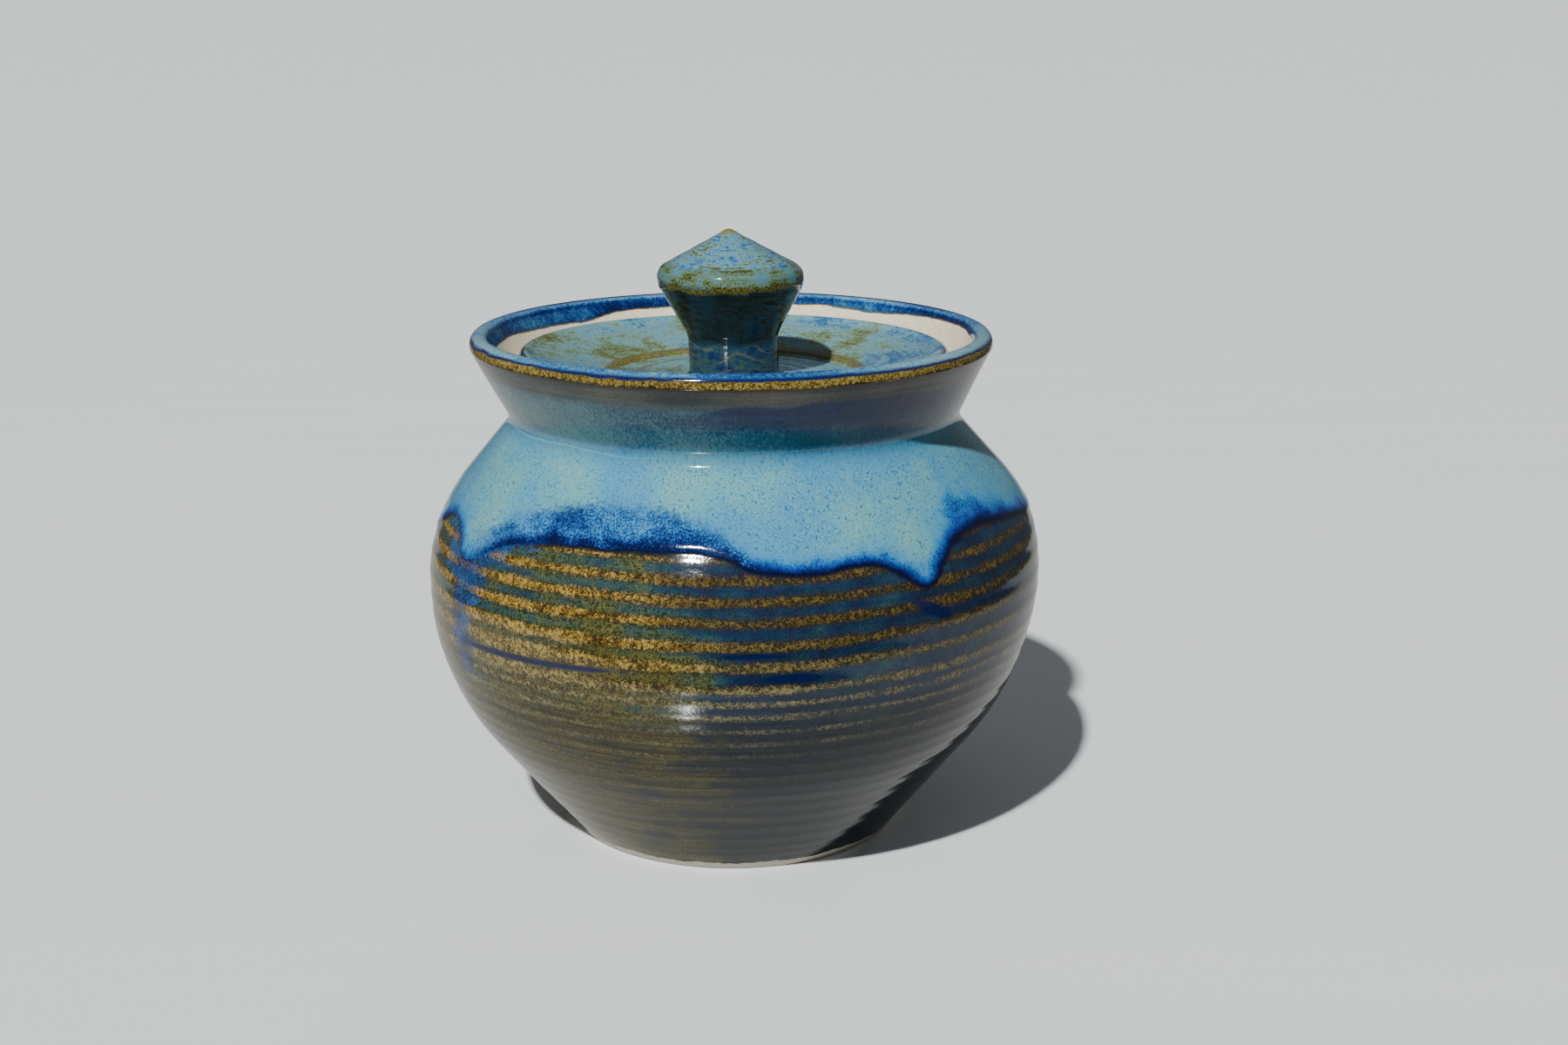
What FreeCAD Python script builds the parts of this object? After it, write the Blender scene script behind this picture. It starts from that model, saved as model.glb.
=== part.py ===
import FreeCAD, Part
import math
import os
import types

import Sketcher

# A wheel-thrown stoneware bean pot with a lid that lifts off.
# Millimetres, +Z up, the origin at the middle of the foot, on the surface that the pot stands on.
# Every piece is turned round the Z axis, so each is drawn as half of its section in the XZ plane:
# in a section, x is the distance from the axis and the second number is the height.

SIZES = (
    # The thrown pot, outside.
    ("foot_radius", 51.8, "outer edge of the foot, where it meets the table"),
    ("belly_radius", 95.0, "widest part of the belly"),
    ("belly_height", 82.5, "height of the widest part"),
    ("belly_arc", 79.0, "radius of the curve below the widest part"),
    ("shoulder_rise", 48.7, "from the widest part up to the neck"),
    ("shoulder_slope", 49.1, "degrees between the shoulder's straight part and the table"),
    ("neck_inset", 25.7, "how far the neck is set in from the widest part"),
    ("neck_curve", 5.0, "radius of the hollow curve round the neck"),
    ("collar_height", 25.3, "from the neck up to the top of the rim"),
    ("rim_flare", 10.5, "how far the rim stands out beyond the neck"),
    ("wall", 5.8, "thickness of the wall; the rim is the wall rounded over"),
    # The pot, inside and underneath.
    ("floor_thickness", 7.5, "clay between the foot's hollow and the inside floor"),
    ("floor_curve", 12.0, "radius where the inside floor turns up into the wall"),
    ("foot_ring_width", 7.8, "width of the ring that the pot stands on"),
    ("foot_hollow", 2.5, "depth turned out of the foot inside that ring"),
    ("foot_edge", 1.4, "rounding of the foot's outer edge"),
    ("throat_inset", 9.3, "clay between the neck's outside and the throat that the lid drops into"),
    ("ledge_rise", 12.3, "from the neck up to the ledge that carries the lid"),
    ("ledge_width", 9.1, "from the throat out to the collar, at the ledge"),
    ("ledge_edge", 1.2, "rounding of the ledge's inner edge"),
    # The rings that the fingers leave in the wall, each a shallow groove beside a plain ridge.
    ("ring_drop", 20.3, "how far below the widest part the wide rings start, along the wall"),
    ("ring_rise", 26.8, "how far above the widest part they end, along the wall"),
    ("ring_pitch", 6.7, "from one wide ring to the next, along the wall"),
    ("ring_ridge", 1.6, "plain ridge between two wide rings"),
    ("ring_depth", 0.45, "depth of a wide ring"),
    ("low_ring_start", 8.0, "from the foot's edge to the first narrow ring, along the wall"),
    ("low_ring_pitch", 4.9, "from one narrow ring to the next, along the wall"),
    ("low_ring_ridge", 1.3, "plain ridge between two narrow rings"),
    ("low_ring_depth", 0.25, "depth of a narrow ring"),
    # The lid, a shallow dish with a flat edge.
    ("lid_gap", 4.1, "between the lid's edge and the collar, at the ledge"),
    ("lid_edge_height", 6.5, "height of the lid's edge above the ledge"),
    ("lid_edge_land", 3.2, "width of the lid's edge on top"),
    ("lid_edge_drop", 1.4, "from the top of the edge down to the dish's slope"),
    ("lid_edge_curve", 1.6, "rounding of the lid's edge"),
    ("dish_depth", 7.6, "depth of the dish below the lid's edge"),
    ("dish_radius", 37.0, "flat middle of the dish"),
    ("dish_step", 0.9, "step up from the flat middle to the slope"),
    ("dish_thickness", 6.2, "thickness of the flat middle"),
    ("locating_gap", 1.0, "between the lid's locating step and the throat"),
    ("locating_depth", 3.3, "height of that step"),
    # The knob, thrown by itself and stuck on to the lid with slip.
    ("knob_height", 44.6, "from the lid to the knob's tip"),
    ("stem_radius", 13.9, "knob's stem"),
    ("stem_height", 10.2, "straight part of the stem"),
    ("slip_width", 1.2, "fillet of slip round the foot of the stem"),
    ("flare_arc", 9.0, "radius of the hollow curve where the stem opens out"),
    ("cap_radius", 22.5, "widest part of the knob's cap"),
    ("cap_height", 30.0, "height of the widest part above the lid"),
    ("cap_under_arc", 8.0, "radius of the cap's edge below its widest part"),
    ("cap_over_arc", 4.5, "radius of the cap's edge above its widest part"),
    ("tip_radius", 2.6, "rounded tip"),
)
ABOVE_RIM = 5.0  # how far a cut runs on above the rim, to be clear of it
PROUD = 0.15  # how far a ring's cutter stands out of the wall

# Sketcher's numbers for an edge's points, and for the vertical axis and the origin.
START, END, CENTRE = range(1, 4)
AXIS, ORIGIN = range(-2, 0)


# Sizes and tangents.

class Size:
    """A length worked out from the sheet: its number now, and the same sum as an expression."""

    def __init__(self, number, text):
        self.number = number
        self.text = text

    def joined(self, other, sign, number):
        text = other.text if isinstance(other, Size) else repr(other)
        return Size(number, f"({self.text} {sign} {text})")

    def __add__(self, other):
        return self.joined(other, "+", self.number + number_of(other))

    def __sub__(self, other):
        return self.joined(other, "-", self.number - number_of(other))

    def __mul__(self, other):
        return self.joined(other, "*", self.number * number_of(other))

    def __truediv__(self, other):
        return self.joined(other, "/", self.number / number_of(other))


def number_of(value):
    return value.number if isinstance(value, Size) else float(value)


def point(x, z):
    """A point of a section, as numbers."""
    return (number_of(x), number_of(z))


def tangent(centre_a, radius_a, side_a, centre_b, radius_b, side_b):
    """Where a line touches two circles, and its angle's normal. A side is +1 where the circle lies
    between the axis and the line and -1 where it lies beyond the line. A radius of 0 is a point."""
    across = (centre_a[0] - centre_b[0], centre_a[1] - centre_b[1])
    reach = side_b * radius_b - side_a * radius_a
    turn = math.acos(reach / math.hypot(*across))
    bearing = math.atan2(across[1], across[0])
    normal = max((bearing - turn, bearing + turn), key=math.cos)
    out = (math.cos(normal), math.sin(normal))
    touch_a = (centre_a[0] + side_a * radius_a * out[0], centre_a[1] + side_a * radius_a * out[1])
    touch_b = (centre_b[0] + side_b * radius_b * out[0], centre_b[1] + side_b * radius_b * out[1])
    return touch_a, touch_b, normal


def on_circle(centre, radius, angle):
    return (centre[0] + radius * math.cos(angle), centre[1] + radius * math.sin(angle))


# The document, its sheet and its sections.

def make_sheet(document):
    sheet = document.addObject("Spreadsheet::Sheet", "Sizes")
    for row, (name, value, note) in enumerate(SIZES, 1):
        sheet.set(f"A{row}", name)
        sheet.set(f"B{row}", str(value))
        sheet.setAlias(f"B{row}", name)
        sheet.set(f"C{row}", note)
    document.recompute()
    return types.SimpleNamespace(
        **{name: Size(float(getattr(sheet, name)), f"Sizes.{name}") for name, _, _ in SIZES}
    )


def make_body(document, label):
    body = document.addObject("PartDesign::Body", label)
    body.Label = label
    return body


class Section:
    """A closed outline in a body's XZ plane, drawn edge by edge and held by constraints."""

    def __init__(self, body, name):
        self.body = body
        self.sketch = body.newObject("Sketcher::SketchObject", name)
        plane = [f for f in body.Origin.OriginFeatures if f.Role == "XZ_Plane"][0]
        self.sketch.AttachmentSupport = (plane, [""])
        self.sketch.MapMode = "FlatFace"

    def line(self, start, end):
        ends = [FreeCAD.Vector(x, z, 0) for x, z in (start, end)]
        return self.sketch.addGeometry(Part.LineSegment(*ends), False)

    def arc(self, centre, radius, first, last):
        """An arc that runs anticlockwise from one angle to the other, in radians."""
        circle = Part.Circle(FreeCAD.Vector(*centre, 0), FreeCAD.Vector(0, 0, 1), radius)
        return self.sketch.addGeometry(Part.ArcOfCircle(circle, first, last), False)

    def add(self, *facts):
        return self.sketch.addConstraint(Sketcher.Constraint(*facts))

    def join(self, edge, end, other, other_end):
        self.add("Coincident", edge, end, other, other_end)

    def blend(self, edge, end, other, other_end):
        """The two edges meet at these ends and run on smoothly."""
        self.add("Tangent", edge, end, other, other_end)

    def level(self, *edges):
        for edge in edges:
            self.add("Horizontal", edge)

    def upright(self, *edges):
        for edge in edges:
            self.add("Vertical", edge)

    def on_axis(self, edge, end):
        self.add("PointOnObject", edge, end, AXIS)

    def bind(self, constraint, size):
        if isinstance(size, Size):
            self.sketch.setExpression(f"Constraints[{constraint}]", size.text)

    def hold(self, edge, end, x=None, z=None):
        """Holds a point at its distance from the axis, its height, or both."""
        for direction, size in (("DistanceX", x), ("DistanceY", z)):
            if size is not None:
                self.bind(self.add(direction, ORIGIN, START, edge, end, number_of(size)), size)

    def hold_radius(self, edge, size):
        self.bind(self.add("Radius", edge, number_of(size)), size)

    def hold_slope(self, edge, size):
        """Holds a line at its angle, in radians or as an expression in degrees."""
        constraint = self.add("Angle", edge, number_of(size))
        self.bind(constraint, size)

    def measure(self, kind, name, unit, edge, number):
        """A size that the other constraints settle, for another section to take over."""
        constraint = self.add(kind, edge, number)
        self.sketch.setDriving(constraint, False)
        self.sketch.renameConstraint(constraint, name)
        return Size(number, f"({self.sketch.Name}.Constraints.{name}{unit})")

    def turn(self, kind, name):
        """Turns the outline round the Z axis: a Revolution adds what it sweeps, a Groove cuts it."""
        self.sketch.Document.recompute()
        before = self.body.Tip.Shape.Volume if kind == "Groove" else 0.0
        feature = self.body.newObject(f"PartDesign::{kind}", name)
        feature.Profile = self.sketch
        feature.ReferenceAxis = (self.sketch, ["V_Axis"])
        feature.Angle = 360.0
        self.body.Tip = feature
        self.sketch.Document.recompute()
        if kind == "Groove" and feature.Shape.Volume >= before:
            raise RuntimeError(f"{name} cuts nothing")
        return feature


def round_edges(body, name, picked, size):
    """Rounds the tip's circular edges whose (radius, height) are picked."""
    tip = body.Tip
    found = []
    for number, edge in enumerate(tip.Shape.Edges, 1):
        if not isinstance(edge.Curve, Part.Circle):
            continue
        ring = (edge.Curve.Radius, edge.Curve.Center.z)
        if any(math.dist(ring, wanted) < 0.01 for wanted in picked):
            found.append(f"Edge{number}")
    if len(found) < len(picked):
        raise RuntimeError(f"{name} found {len(found)} of its {len(picked)} edges")
    fillet = body.newObject("PartDesign::Fillet", name)
    fillet.Base = (tip, found)
    fillet.setExpression("Radius", size.text)
    body.Tip = fillet
    body.Document.recompute()
    return fillet


# The pot.

def neck_radius(s):
    return s.belly_radius - s.neck_inset


def neck_height(s):
    return s.belly_height + s.shoulder_rise


def rim_middle(s):
    """The middle of the rounded rim: its distance from the axis and its height."""
    return (neck_radius(s) + s.rim_flare - s.wall / 2,
            neck_height(s) + s.collar_height - s.wall / 2)


def throat_radius(s):
    return neck_radius(s) - s.throat_inset


def ledge_height(s):
    return neck_height(s) + s.ledge_rise


def outer_wall(s):
    """The outside of the wall from the foot's edge to the rim, as circles and the lines that
    touch them, all as numbers."""
    w = types.SimpleNamespace()
    w.foot = point(s.foot_radius, 0)
    w.belly = point(s.belly_radius - s.belly_arc, s.belly_height)
    w.neck = point(neck_radius(s) + s.neck_curve, neck_height(s))
    w.rim = point(*rim_middle(s))
    w.low_start, w.low_end, w.low_normal = tangent(
        w.foot, 0, 1, w.belly, s.belly_arc.number, 1)
    w.collar_start, w.collar_end, w.collar_normal = tangent(
        w.neck, s.neck_curve.number, -1, w.rim, s.wall.number / 2, 1)
    # The shoulder's curve starts upright at the widest part and ends on the straight part.
    w.high_normal = math.radians(90 - s.shoulder_slope.number)
    w.high_end = on_circle(w.neck, -s.neck_curve.number, w.high_normal)
    across = s.belly_radius.number - w.high_end[0]
    rise = w.high_end[1] - s.belly_height.number
    spare = rise * math.sin(w.high_normal) - across * math.cos(w.high_normal)
    w.shoulder_arc = spare / (1 - math.cos(w.high_normal))
    w.shoulder = (s.belly_radius.number - w.shoulder_arc, s.belly_height.number)
    w.high_start = on_circle(w.shoulder, w.shoulder_arc, w.high_normal)
    return w


def draw_thrown_form(body, s):
    """The outside of the pot as one solid, from the foot to the top of the rim. Gives back the
    slope of the low wall, the slope of the shoulder and the radius of its curve."""
    w = outer_wall(s)
    quarter_turn = math.pi / 2
    rim_x, rim_z = rim_middle(s)
    rim_top = point(rim_x, rim_z + s.wall / 2)
    form = Section(body, "thrown_form_section")
    base = form.line((0, 0), w.foot)
    low = form.line(w.low_start, w.low_end)
    belly = form.arc(w.belly, s.belly_arc.number, w.low_normal, 0)
    shoulder = form.arc(w.shoulder, w.shoulder_arc, 0, w.high_normal)
    high = form.line(w.high_start, w.high_end)
    neck = form.arc(w.neck, s.neck_curve.number, w.collar_normal + 2 * quarter_turn,
                    w.high_normal + 2 * quarter_turn)
    collar = form.line(w.collar_start, w.collar_end)
    rim = form.arc(w.rim, s.wall.number / 2, w.collar_normal, quarter_turn)
    top = form.line(rim_top, (0, rim_top[1]))
    axis = form.line((0, rim_top[1]), (0, 0))

    form.join(base, START, ORIGIN, START)
    form.join(base, END, low, START)
    form.blend(low, END, belly, START)
    form.blend(belly, END, shoulder, START)
    form.blend(shoulder, END, high, START)
    form.blend(high, END, neck, END)
    form.blend(neck, START, collar, START)
    form.blend(collar, END, rim, START)
    form.join(rim, END, top, START)
    form.join(top, END, axis, START)
    form.join(axis, END, base, START)
    form.level(base, top)
    form.on_axis(axis, START)

    form.hold(base, END, x=s.foot_radius)
    form.hold(belly, CENTRE, x=s.belly_radius - s.belly_arc, z=s.belly_height)
    form.hold(belly, END, z=s.belly_height)
    form.hold_radius(belly, s.belly_arc)
    form.hold_slope(high, shoulder_angle(s))
    form.hold(neck, CENTRE, x=neck_radius(s) + s.neck_curve, z=neck_height(s))
    form.hold_radius(neck, s.neck_curve)
    form.hold(rim, CENTRE, x=rim_x, z=rim_z)
    form.hold(rim, END, x=rim_x)
    form.hold_radius(rim, s.wall / 2)
    low_slope = form.measure("Angle", "low_slope", "", low, w.low_normal + quarter_turn)
    shoulder_arc = form.measure("Radius", "shoulder_arc", " / 1 mm", shoulder, w.shoulder_arc)
    form.turn("Revolution", "thrown_form")
    return low_slope, shoulder_arc


def shoulder_angle(s):
    """The angle at which the shoulder's straight part is drawn, upwards and inwards."""
    return Size(math.radians(180 - s.shoulder_slope.number),
                f"180 deg - {s.shoulder_slope.text} * 1 deg")


def draw_hollow(body, s, low_slope, shoulder_arc):
    """The inside, a wall's thickness within the outside: floor, belly, throat, the ledge that
    carries the lid, and the collar above it."""
    quarter_turn = math.pi / 2
    floor_height = s.foot_hollow + s.floor_thickness
    ledge_radius = throat_radius(s) + s.ledge_width
    rim_x, rim_z = rim_middle(s)
    top = rim_z + s.wall / 2 + ABOVE_RIM
    w = outer_wall(s)
    belly_arc = (s.belly_arc - s.wall).number
    low_end = on_circle(w.belly, belly_arc, w.low_normal)
    corner_z = (floor_height + s.floor_curve).number
    inset = s.floor_curve.number + (low_end[1] - corner_z) * -math.sin(w.low_normal)
    corner_centre = (low_end[0] - inset / math.cos(w.low_normal), corner_z)
    low_start = on_circle(corner_centre, s.floor_curve.number, w.low_normal)
    floor_end = (corner_centre[0], floor_height.number)
    high_start = on_circle(w.shoulder, shoulder_arc.number - s.wall.number, w.high_normal)
    rise = (high_start[0] - throat_radius(s).number) / math.tan(w.high_normal)
    high_end = (throat_radius(s).number, high_start[1] + rise)
    ledge_start = point(throat_radius(s), ledge_height(s))
    collar_start, collar_end, collar_normal = tangent(
        point(ledge_radius, ledge_height(s)), 0, 1, w.rim, s.wall.number / 2, -1)
    rim_top = point(rim_x, rim_z + s.wall / 2)

    inside = Section(body, "hollow_section")
    floor = inside.line(point(0, floor_height), floor_end)
    corner = inside.arc(corner_centre, s.floor_curve.number, -quarter_turn, w.low_normal)
    low = inside.line(low_start, low_end)
    belly = inside.arc(w.belly, belly_arc, w.low_normal, 0)
    shoulder = inside.arc(w.shoulder, (shoulder_arc - s.wall).number, 0, w.high_normal)
    high = inside.line(high_start, high_end)
    throat = inside.line(high_end, ledge_start)
    ledge = inside.line(ledge_start, collar_start)
    collar = inside.line(collar_start, collar_end)
    rim = inside.arc(w.rim, s.wall.number / 2, quarter_turn, collar_normal + 2 * quarter_turn)
    way_out = inside.line(rim_top, point(rim_x, top))
    lid_side = inside.line(point(rim_x, top), point(0, top))
    axis = inside.line(point(0, top), point(0, floor_height))

    inside.blend(floor, END, corner, START)
    inside.blend(corner, END, low, START)
    inside.blend(low, END, belly, START)
    inside.blend(belly, END, shoulder, START)
    inside.blend(shoulder, END, high, START)
    inside.join(high, END, throat, START)
    inside.join(throat, END, ledge, START)
    inside.join(ledge, END, collar, START)
    inside.blend(collar, END, rim, END)
    inside.join(rim, START, way_out, START)
    inside.join(way_out, END, lid_side, START)
    inside.join(lid_side, END, axis, START)
    inside.join(axis, END, floor, START)
    inside.level(floor, ledge, lid_side)
    inside.upright(throat, way_out)
    inside.on_axis(axis, START)
    inside.on_axis(axis, END)

    inside.hold(floor, END, z=floor_height)
    inside.hold_radius(corner, s.floor_curve)
    inside.hold_slope(low, low_slope)
    inside.hold(belly, CENTRE, x=s.belly_radius - s.belly_arc, z=s.belly_height)
    inside.hold(belly, END, z=s.belly_height)
    inside.hold_radius(belly, s.belly_arc - s.wall)
    inside.hold_radius(shoulder, shoulder_arc - s.wall)
    inside.hold_slope(high, shoulder_angle(s))
    inside.hold(ledge, START, x=throat_radius(s), z=ledge_height(s))
    inside.hold(ledge, END, x=ledge_radius)
    inside.hold(rim, CENTRE, x=rim_x, z=rim_z)
    inside.hold_radius(rim, s.wall / 2)
    inside.hold(rim, START, x=rim_x)
    inside.hold(way_out, END, z=top)
    inside.turn("Groove", "hollow")


def draw_foot_hollow(body, s):
    """The shallow hollow turned out of the foot, which leaves the ring that the pot stands on."""
    radius = s.foot_radius - s.foot_ring_width
    cut = Section(body, "foot_hollow_section")
    low = cut.line((0, 0), point(radius, 0))
    side = cut.line(point(radius, 0), point(radius, s.foot_hollow))
    roof = cut.line(point(radius, s.foot_hollow), point(0, s.foot_hollow))
    axis = cut.line(point(0, s.foot_hollow), (0, 0))
    cut.join(low, START, ORIGIN, START)
    cut.join(low, END, side, START)
    cut.join(side, END, roof, START)
    cut.join(roof, END, axis, START)
    cut.join(axis, END, low, START)
    cut.level(low, roof)
    cut.upright(side, axis)
    cut.hold(side, END, x=radius, z=s.foot_hollow)
    cut.turn("Groove", "foot_hollow")


def wall_runs(s):
    """How far the end of the straight wall, the widest part and the end of the shoulder's curve
    are from the foot's edge, along the wall."""
    w = outer_wall(s)
    straight = math.dist(w.low_start, w.low_end)
    widest = straight - w.low_normal * s.belly_arc.number
    return straight, widest, widest + w.high_normal * w.shoulder_arc


def wall_place(s, run):
    """The point of the wall's outside that is so far from the foot's edge, and the angle at which
    the wall faces there."""
    w = outer_wall(s)
    straight, widest, _ = wall_runs(s)
    if run < straight:
        share = run / straight
        place = tuple(a + share * (b - a) for a, b in zip(w.low_start, w.low_end))
        return place, w.low_normal
    if run < widest:
        centre, radius = w.belly, s.belly_arc.number
    else:
        centre, radius = w.shoulder, w.shoulder_arc
    angle = (run - widest) / radius
    return on_circle(centre, radius, angle), angle


def draw_rings(body, s, name, start, end, pitch, ridge, depth):
    """The shallow grooves that the fingers leave as the wall is drawn up, one above the other
    between two places on the wall. Each is cut by a circle that dips into the wall."""
    half = (pitch - ridge) / 2
    radius = (half * half + depth * depth) / (depth * 2)
    reach = (radius - depth).number - PROUD
    spread = math.acos(reach / radius.number)
    rings = Section(body, f"{name}_section")
    for count in range(int((end - start) / pitch.number)):
        place, angle = wall_place(s, start + (count + 0.5) * pitch.number)
        out = (math.cos(angle), math.sin(angle))
        centre = [(radius - depth) * o + p for o, p in zip(out, place)]
        inwards = angle + math.pi
        groove = rings.arc(point(*centre), radius.number, inwards - spread, inwards + spread)
        ends = [on_circle(point(*centre), radius.number, inwards + a) for a in (-spread, spread)]
        mouth = rings.line(*ends)
        rings.join(groove, START, mouth, START)
        rings.join(groove, END, mouth, END)
        rings.hold(groove, CENTRE, x=centre[0], z=centre[1])
        rings.hold_radius(groove, radius)
        for end_name, (_, z) in zip((START, END), ends):
            rings.hold(groove, end_name, z=z)
    rings.turn("Groove", name)


def draw_throwing_rings(body, s):
    _, widest, shoulder_end = wall_runs(s)
    change = widest - s.ring_drop.number
    top = min(widest + s.ring_rise.number, shoulder_end)
    draw_rings(body, s, "low_rings", s.low_ring_start.number, change,
               s.low_ring_pitch, s.low_ring_ridge, s.low_ring_depth)
    draw_rings(body, s, "throwing_rings", change, top,
               s.ring_pitch, s.ring_ridge, s.ring_depth)


def make_pot(document, s):
    body = make_body(document, "pot_body")
    low_slope, shoulder_arc = draw_thrown_form(body, s)
    draw_hollow(body, s, low_slope, shoulder_arc)
    draw_foot_hollow(body, s)
    round_edges(body, "foot_edge_round", [point(s.foot_radius, 0)], s.foot_edge)
    round_edges(body, "ledge_edge_round", [point(throat_radius(s), ledge_height(s))],
                s.ledge_edge)
    draw_throwing_rings(body, s)
    return body


# The lid.

def make_lid(document, s):
    """A shallow dish. Its edge lies on the ledge, and the step under the edge drops into the
    throat and keeps the lid in the middle."""
    body = make_body(document, "lid")
    seat = ledge_height(s)
    edge_outside = throat_radius(s) + s.ledge_width - s.lid_gap
    edge_inside = edge_outside - s.lid_edge_land
    edge_top = seat + s.lid_edge_height
    dish_top = edge_top - s.dish_depth
    underside = dish_top - s.dish_thickness
    locating_radius = throat_radius(s) - s.locating_gap
    corners = (
        (s.dish_radius, underside),
        (locating_radius, seat - s.locating_depth),
        (locating_radius, seat),
        (edge_outside, seat),
        (edge_outside, edge_top),
        (edge_inside, edge_top),
        (edge_inside - s.lid_edge_drop, edge_top - s.lid_edge_drop),
        (s.dish_radius + s.dish_step, dish_top + s.dish_step),
        (s.dish_radius, dish_top),
    )
    numbers = [point(0, underside)] + [point(*c) for c in corners] + [point(0, dish_top)]
    section = Section(body, "lid_section")
    edges = [section.line(a, b) for a, b in zip(numbers, numbers[1:] + numbers[:1])]
    for edge, following in zip(edges, edges[1:] + edges[:1]):
        section.join(edge, END, following, START)
    for edge, (x, z) in zip(edges, corners):
        section.hold(edge, END, x=x, z=z)
    section.level(edges[0], edges[-2])
    section.on_axis(edges[0], START)
    section.on_axis(edges[-2], END)
    section.turn("Revolution", "thrown_dish")
    round_edges(body, "lid_edge_round",
                [point(edge_outside, edge_top), point(edge_inside, edge_top)], s.lid_edge_curve)
    return body


# The knob.

def make_knob(document, s):
    """A stem that opens out into a cap with a rounded edge and a pointed top."""
    body = make_body(document, "lid_knob")
    half_turn = math.pi
    base = ledge_height(s) + s.lid_edge_height - s.dish_depth
    top = base + s.knob_height
    cap_level = base + s.cap_height
    under_centre = point(s.cap_radius - s.cap_under_arc, cap_level)
    over_centre = point(s.cap_radius - s.cap_over_arc, cap_level)
    flare_centre = point(s.stem_radius + s.flare_arc, base + s.stem_height)
    tip_centre = point(0, top - s.tip_radius)
    slip_edge = point(s.stem_radius + s.slip_width, base)
    stem_foot = point(s.stem_radius, base + s.slip_width)
    stem_top = point(s.stem_radius, base + s.stem_height)
    flare_end, under_start, under_normal = tangent(
        flare_centre, s.flare_arc.number, -1, under_centre, s.cap_under_arc.number, 1)
    over_end, tip_start, tip_normal = tangent(
        over_centre, s.cap_over_arc.number, 1, tip_centre, s.tip_radius.number, 1)

    knob = Section(body, "knob_section")
    seat = knob.line(point(0, base), slip_edge)
    slip = knob.line(slip_edge, stem_foot)
    stem = knob.line(stem_foot, stem_top)
    flare = knob.arc(flare_centre, s.flare_arc.number, under_normal + half_turn, half_turn)
    under_side = knob.line(flare_end, under_start)
    under = knob.arc(under_centre, s.cap_under_arc.number, under_normal, 0)
    over = knob.arc(over_centre, s.cap_over_arc.number, 0, tip_normal)
    slope = knob.line(over_end, tip_start)
    tip = knob.arc(tip_centre, s.tip_radius.number, tip_normal, half_turn / 2)
    axis = knob.line(point(0, top), point(0, base))
    knob.join(seat, END, slip, START)
    knob.join(slip, END, stem, START)
    knob.blend(stem, END, flare, END)
    knob.blend(flare, START, under_side, START)
    knob.blend(under_side, END, under, START)
    knob.blend(under, END, over, START)
    knob.blend(over, END, slope, START)
    knob.blend(slope, END, tip, START)
    knob.join(tip, END, axis, START)
    knob.join(axis, END, seat, START)
    knob.level(seat)
    knob.upright(stem)
    knob.on_axis(axis, START)
    knob.on_axis(axis, END)

    knob.hold(seat, END, x=s.stem_radius + s.slip_width, z=base)
    knob.hold(slip, END, x=s.stem_radius, z=base + s.slip_width)
    knob.hold(stem, END, z=base + s.stem_height)
    knob.hold_radius(flare, s.flare_arc)
    knob.hold(under, CENTRE, x=s.cap_radius - s.cap_under_arc, z=cap_level)
    knob.hold_radius(under, s.cap_under_arc)
    knob.hold(under, END, z=cap_level)
    knob.hold_radius(over, s.cap_over_arc)
    knob.on_axis(tip, CENTRE)
    knob.hold_radius(tip, s.tip_radius)
    knob.hold(tip, END, z=top)
    knob.turn("Revolution", "thrown_knob")
    return body


# Making, testing and writing the pieces.

def main():
    document = FreeCAD.newDocument("BeanPot")
    sizes = make_sheet(document)
    pieces = [make_pot(document, sizes), make_lid(document, sizes), make_knob(document, sizes)]
    document.recompute()
    for item in document.Objects:
        if "Invalid" in item.State or "Error" in item.State:
            raise RuntimeError(f"{item.Label} failed: {item.State}")
    os.makedirs("parts", exist_ok=True)
    for piece in pieces:
        shape = piece.Shape
        if shape.isNull() or not shape.isValid() or not shape.Solids:
            raise RuntimeError(f"{piece.Label} has no sound shape")
        shape.exportStep(f"parts/{piece.Label}.step")
        box = shape.BoundBox
        print(f"{piece.Label}: {len(shape.Solids)} solid, {shape.Volume / 1000:.1f} cm3, "
              f"z {box.ZMin:.2f} to {box.ZMax:.2f}, across {box.XLength:.2f}")


main()
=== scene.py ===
import math

import bmesh
import bpy
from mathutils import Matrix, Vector, noise


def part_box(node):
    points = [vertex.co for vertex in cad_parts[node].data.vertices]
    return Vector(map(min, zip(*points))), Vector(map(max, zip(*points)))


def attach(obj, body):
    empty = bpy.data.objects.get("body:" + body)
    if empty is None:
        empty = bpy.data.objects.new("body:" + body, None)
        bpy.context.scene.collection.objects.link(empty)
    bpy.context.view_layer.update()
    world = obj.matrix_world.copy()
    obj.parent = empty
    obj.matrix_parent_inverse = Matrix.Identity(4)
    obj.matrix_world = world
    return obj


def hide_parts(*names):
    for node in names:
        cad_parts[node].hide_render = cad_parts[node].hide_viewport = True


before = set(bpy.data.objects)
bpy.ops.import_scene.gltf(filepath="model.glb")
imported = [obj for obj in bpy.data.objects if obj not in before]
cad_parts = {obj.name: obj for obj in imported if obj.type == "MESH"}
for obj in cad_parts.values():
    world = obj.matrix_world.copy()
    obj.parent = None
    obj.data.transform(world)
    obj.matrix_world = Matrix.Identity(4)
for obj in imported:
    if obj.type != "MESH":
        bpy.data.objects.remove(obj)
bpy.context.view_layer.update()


# The view.
# A plain lens, two thirds of a metre in front of the pot and a hand's breadth higher than its
# knob. It looks down by 14 degrees, at a place a little to the right of the pot's middle.

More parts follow.
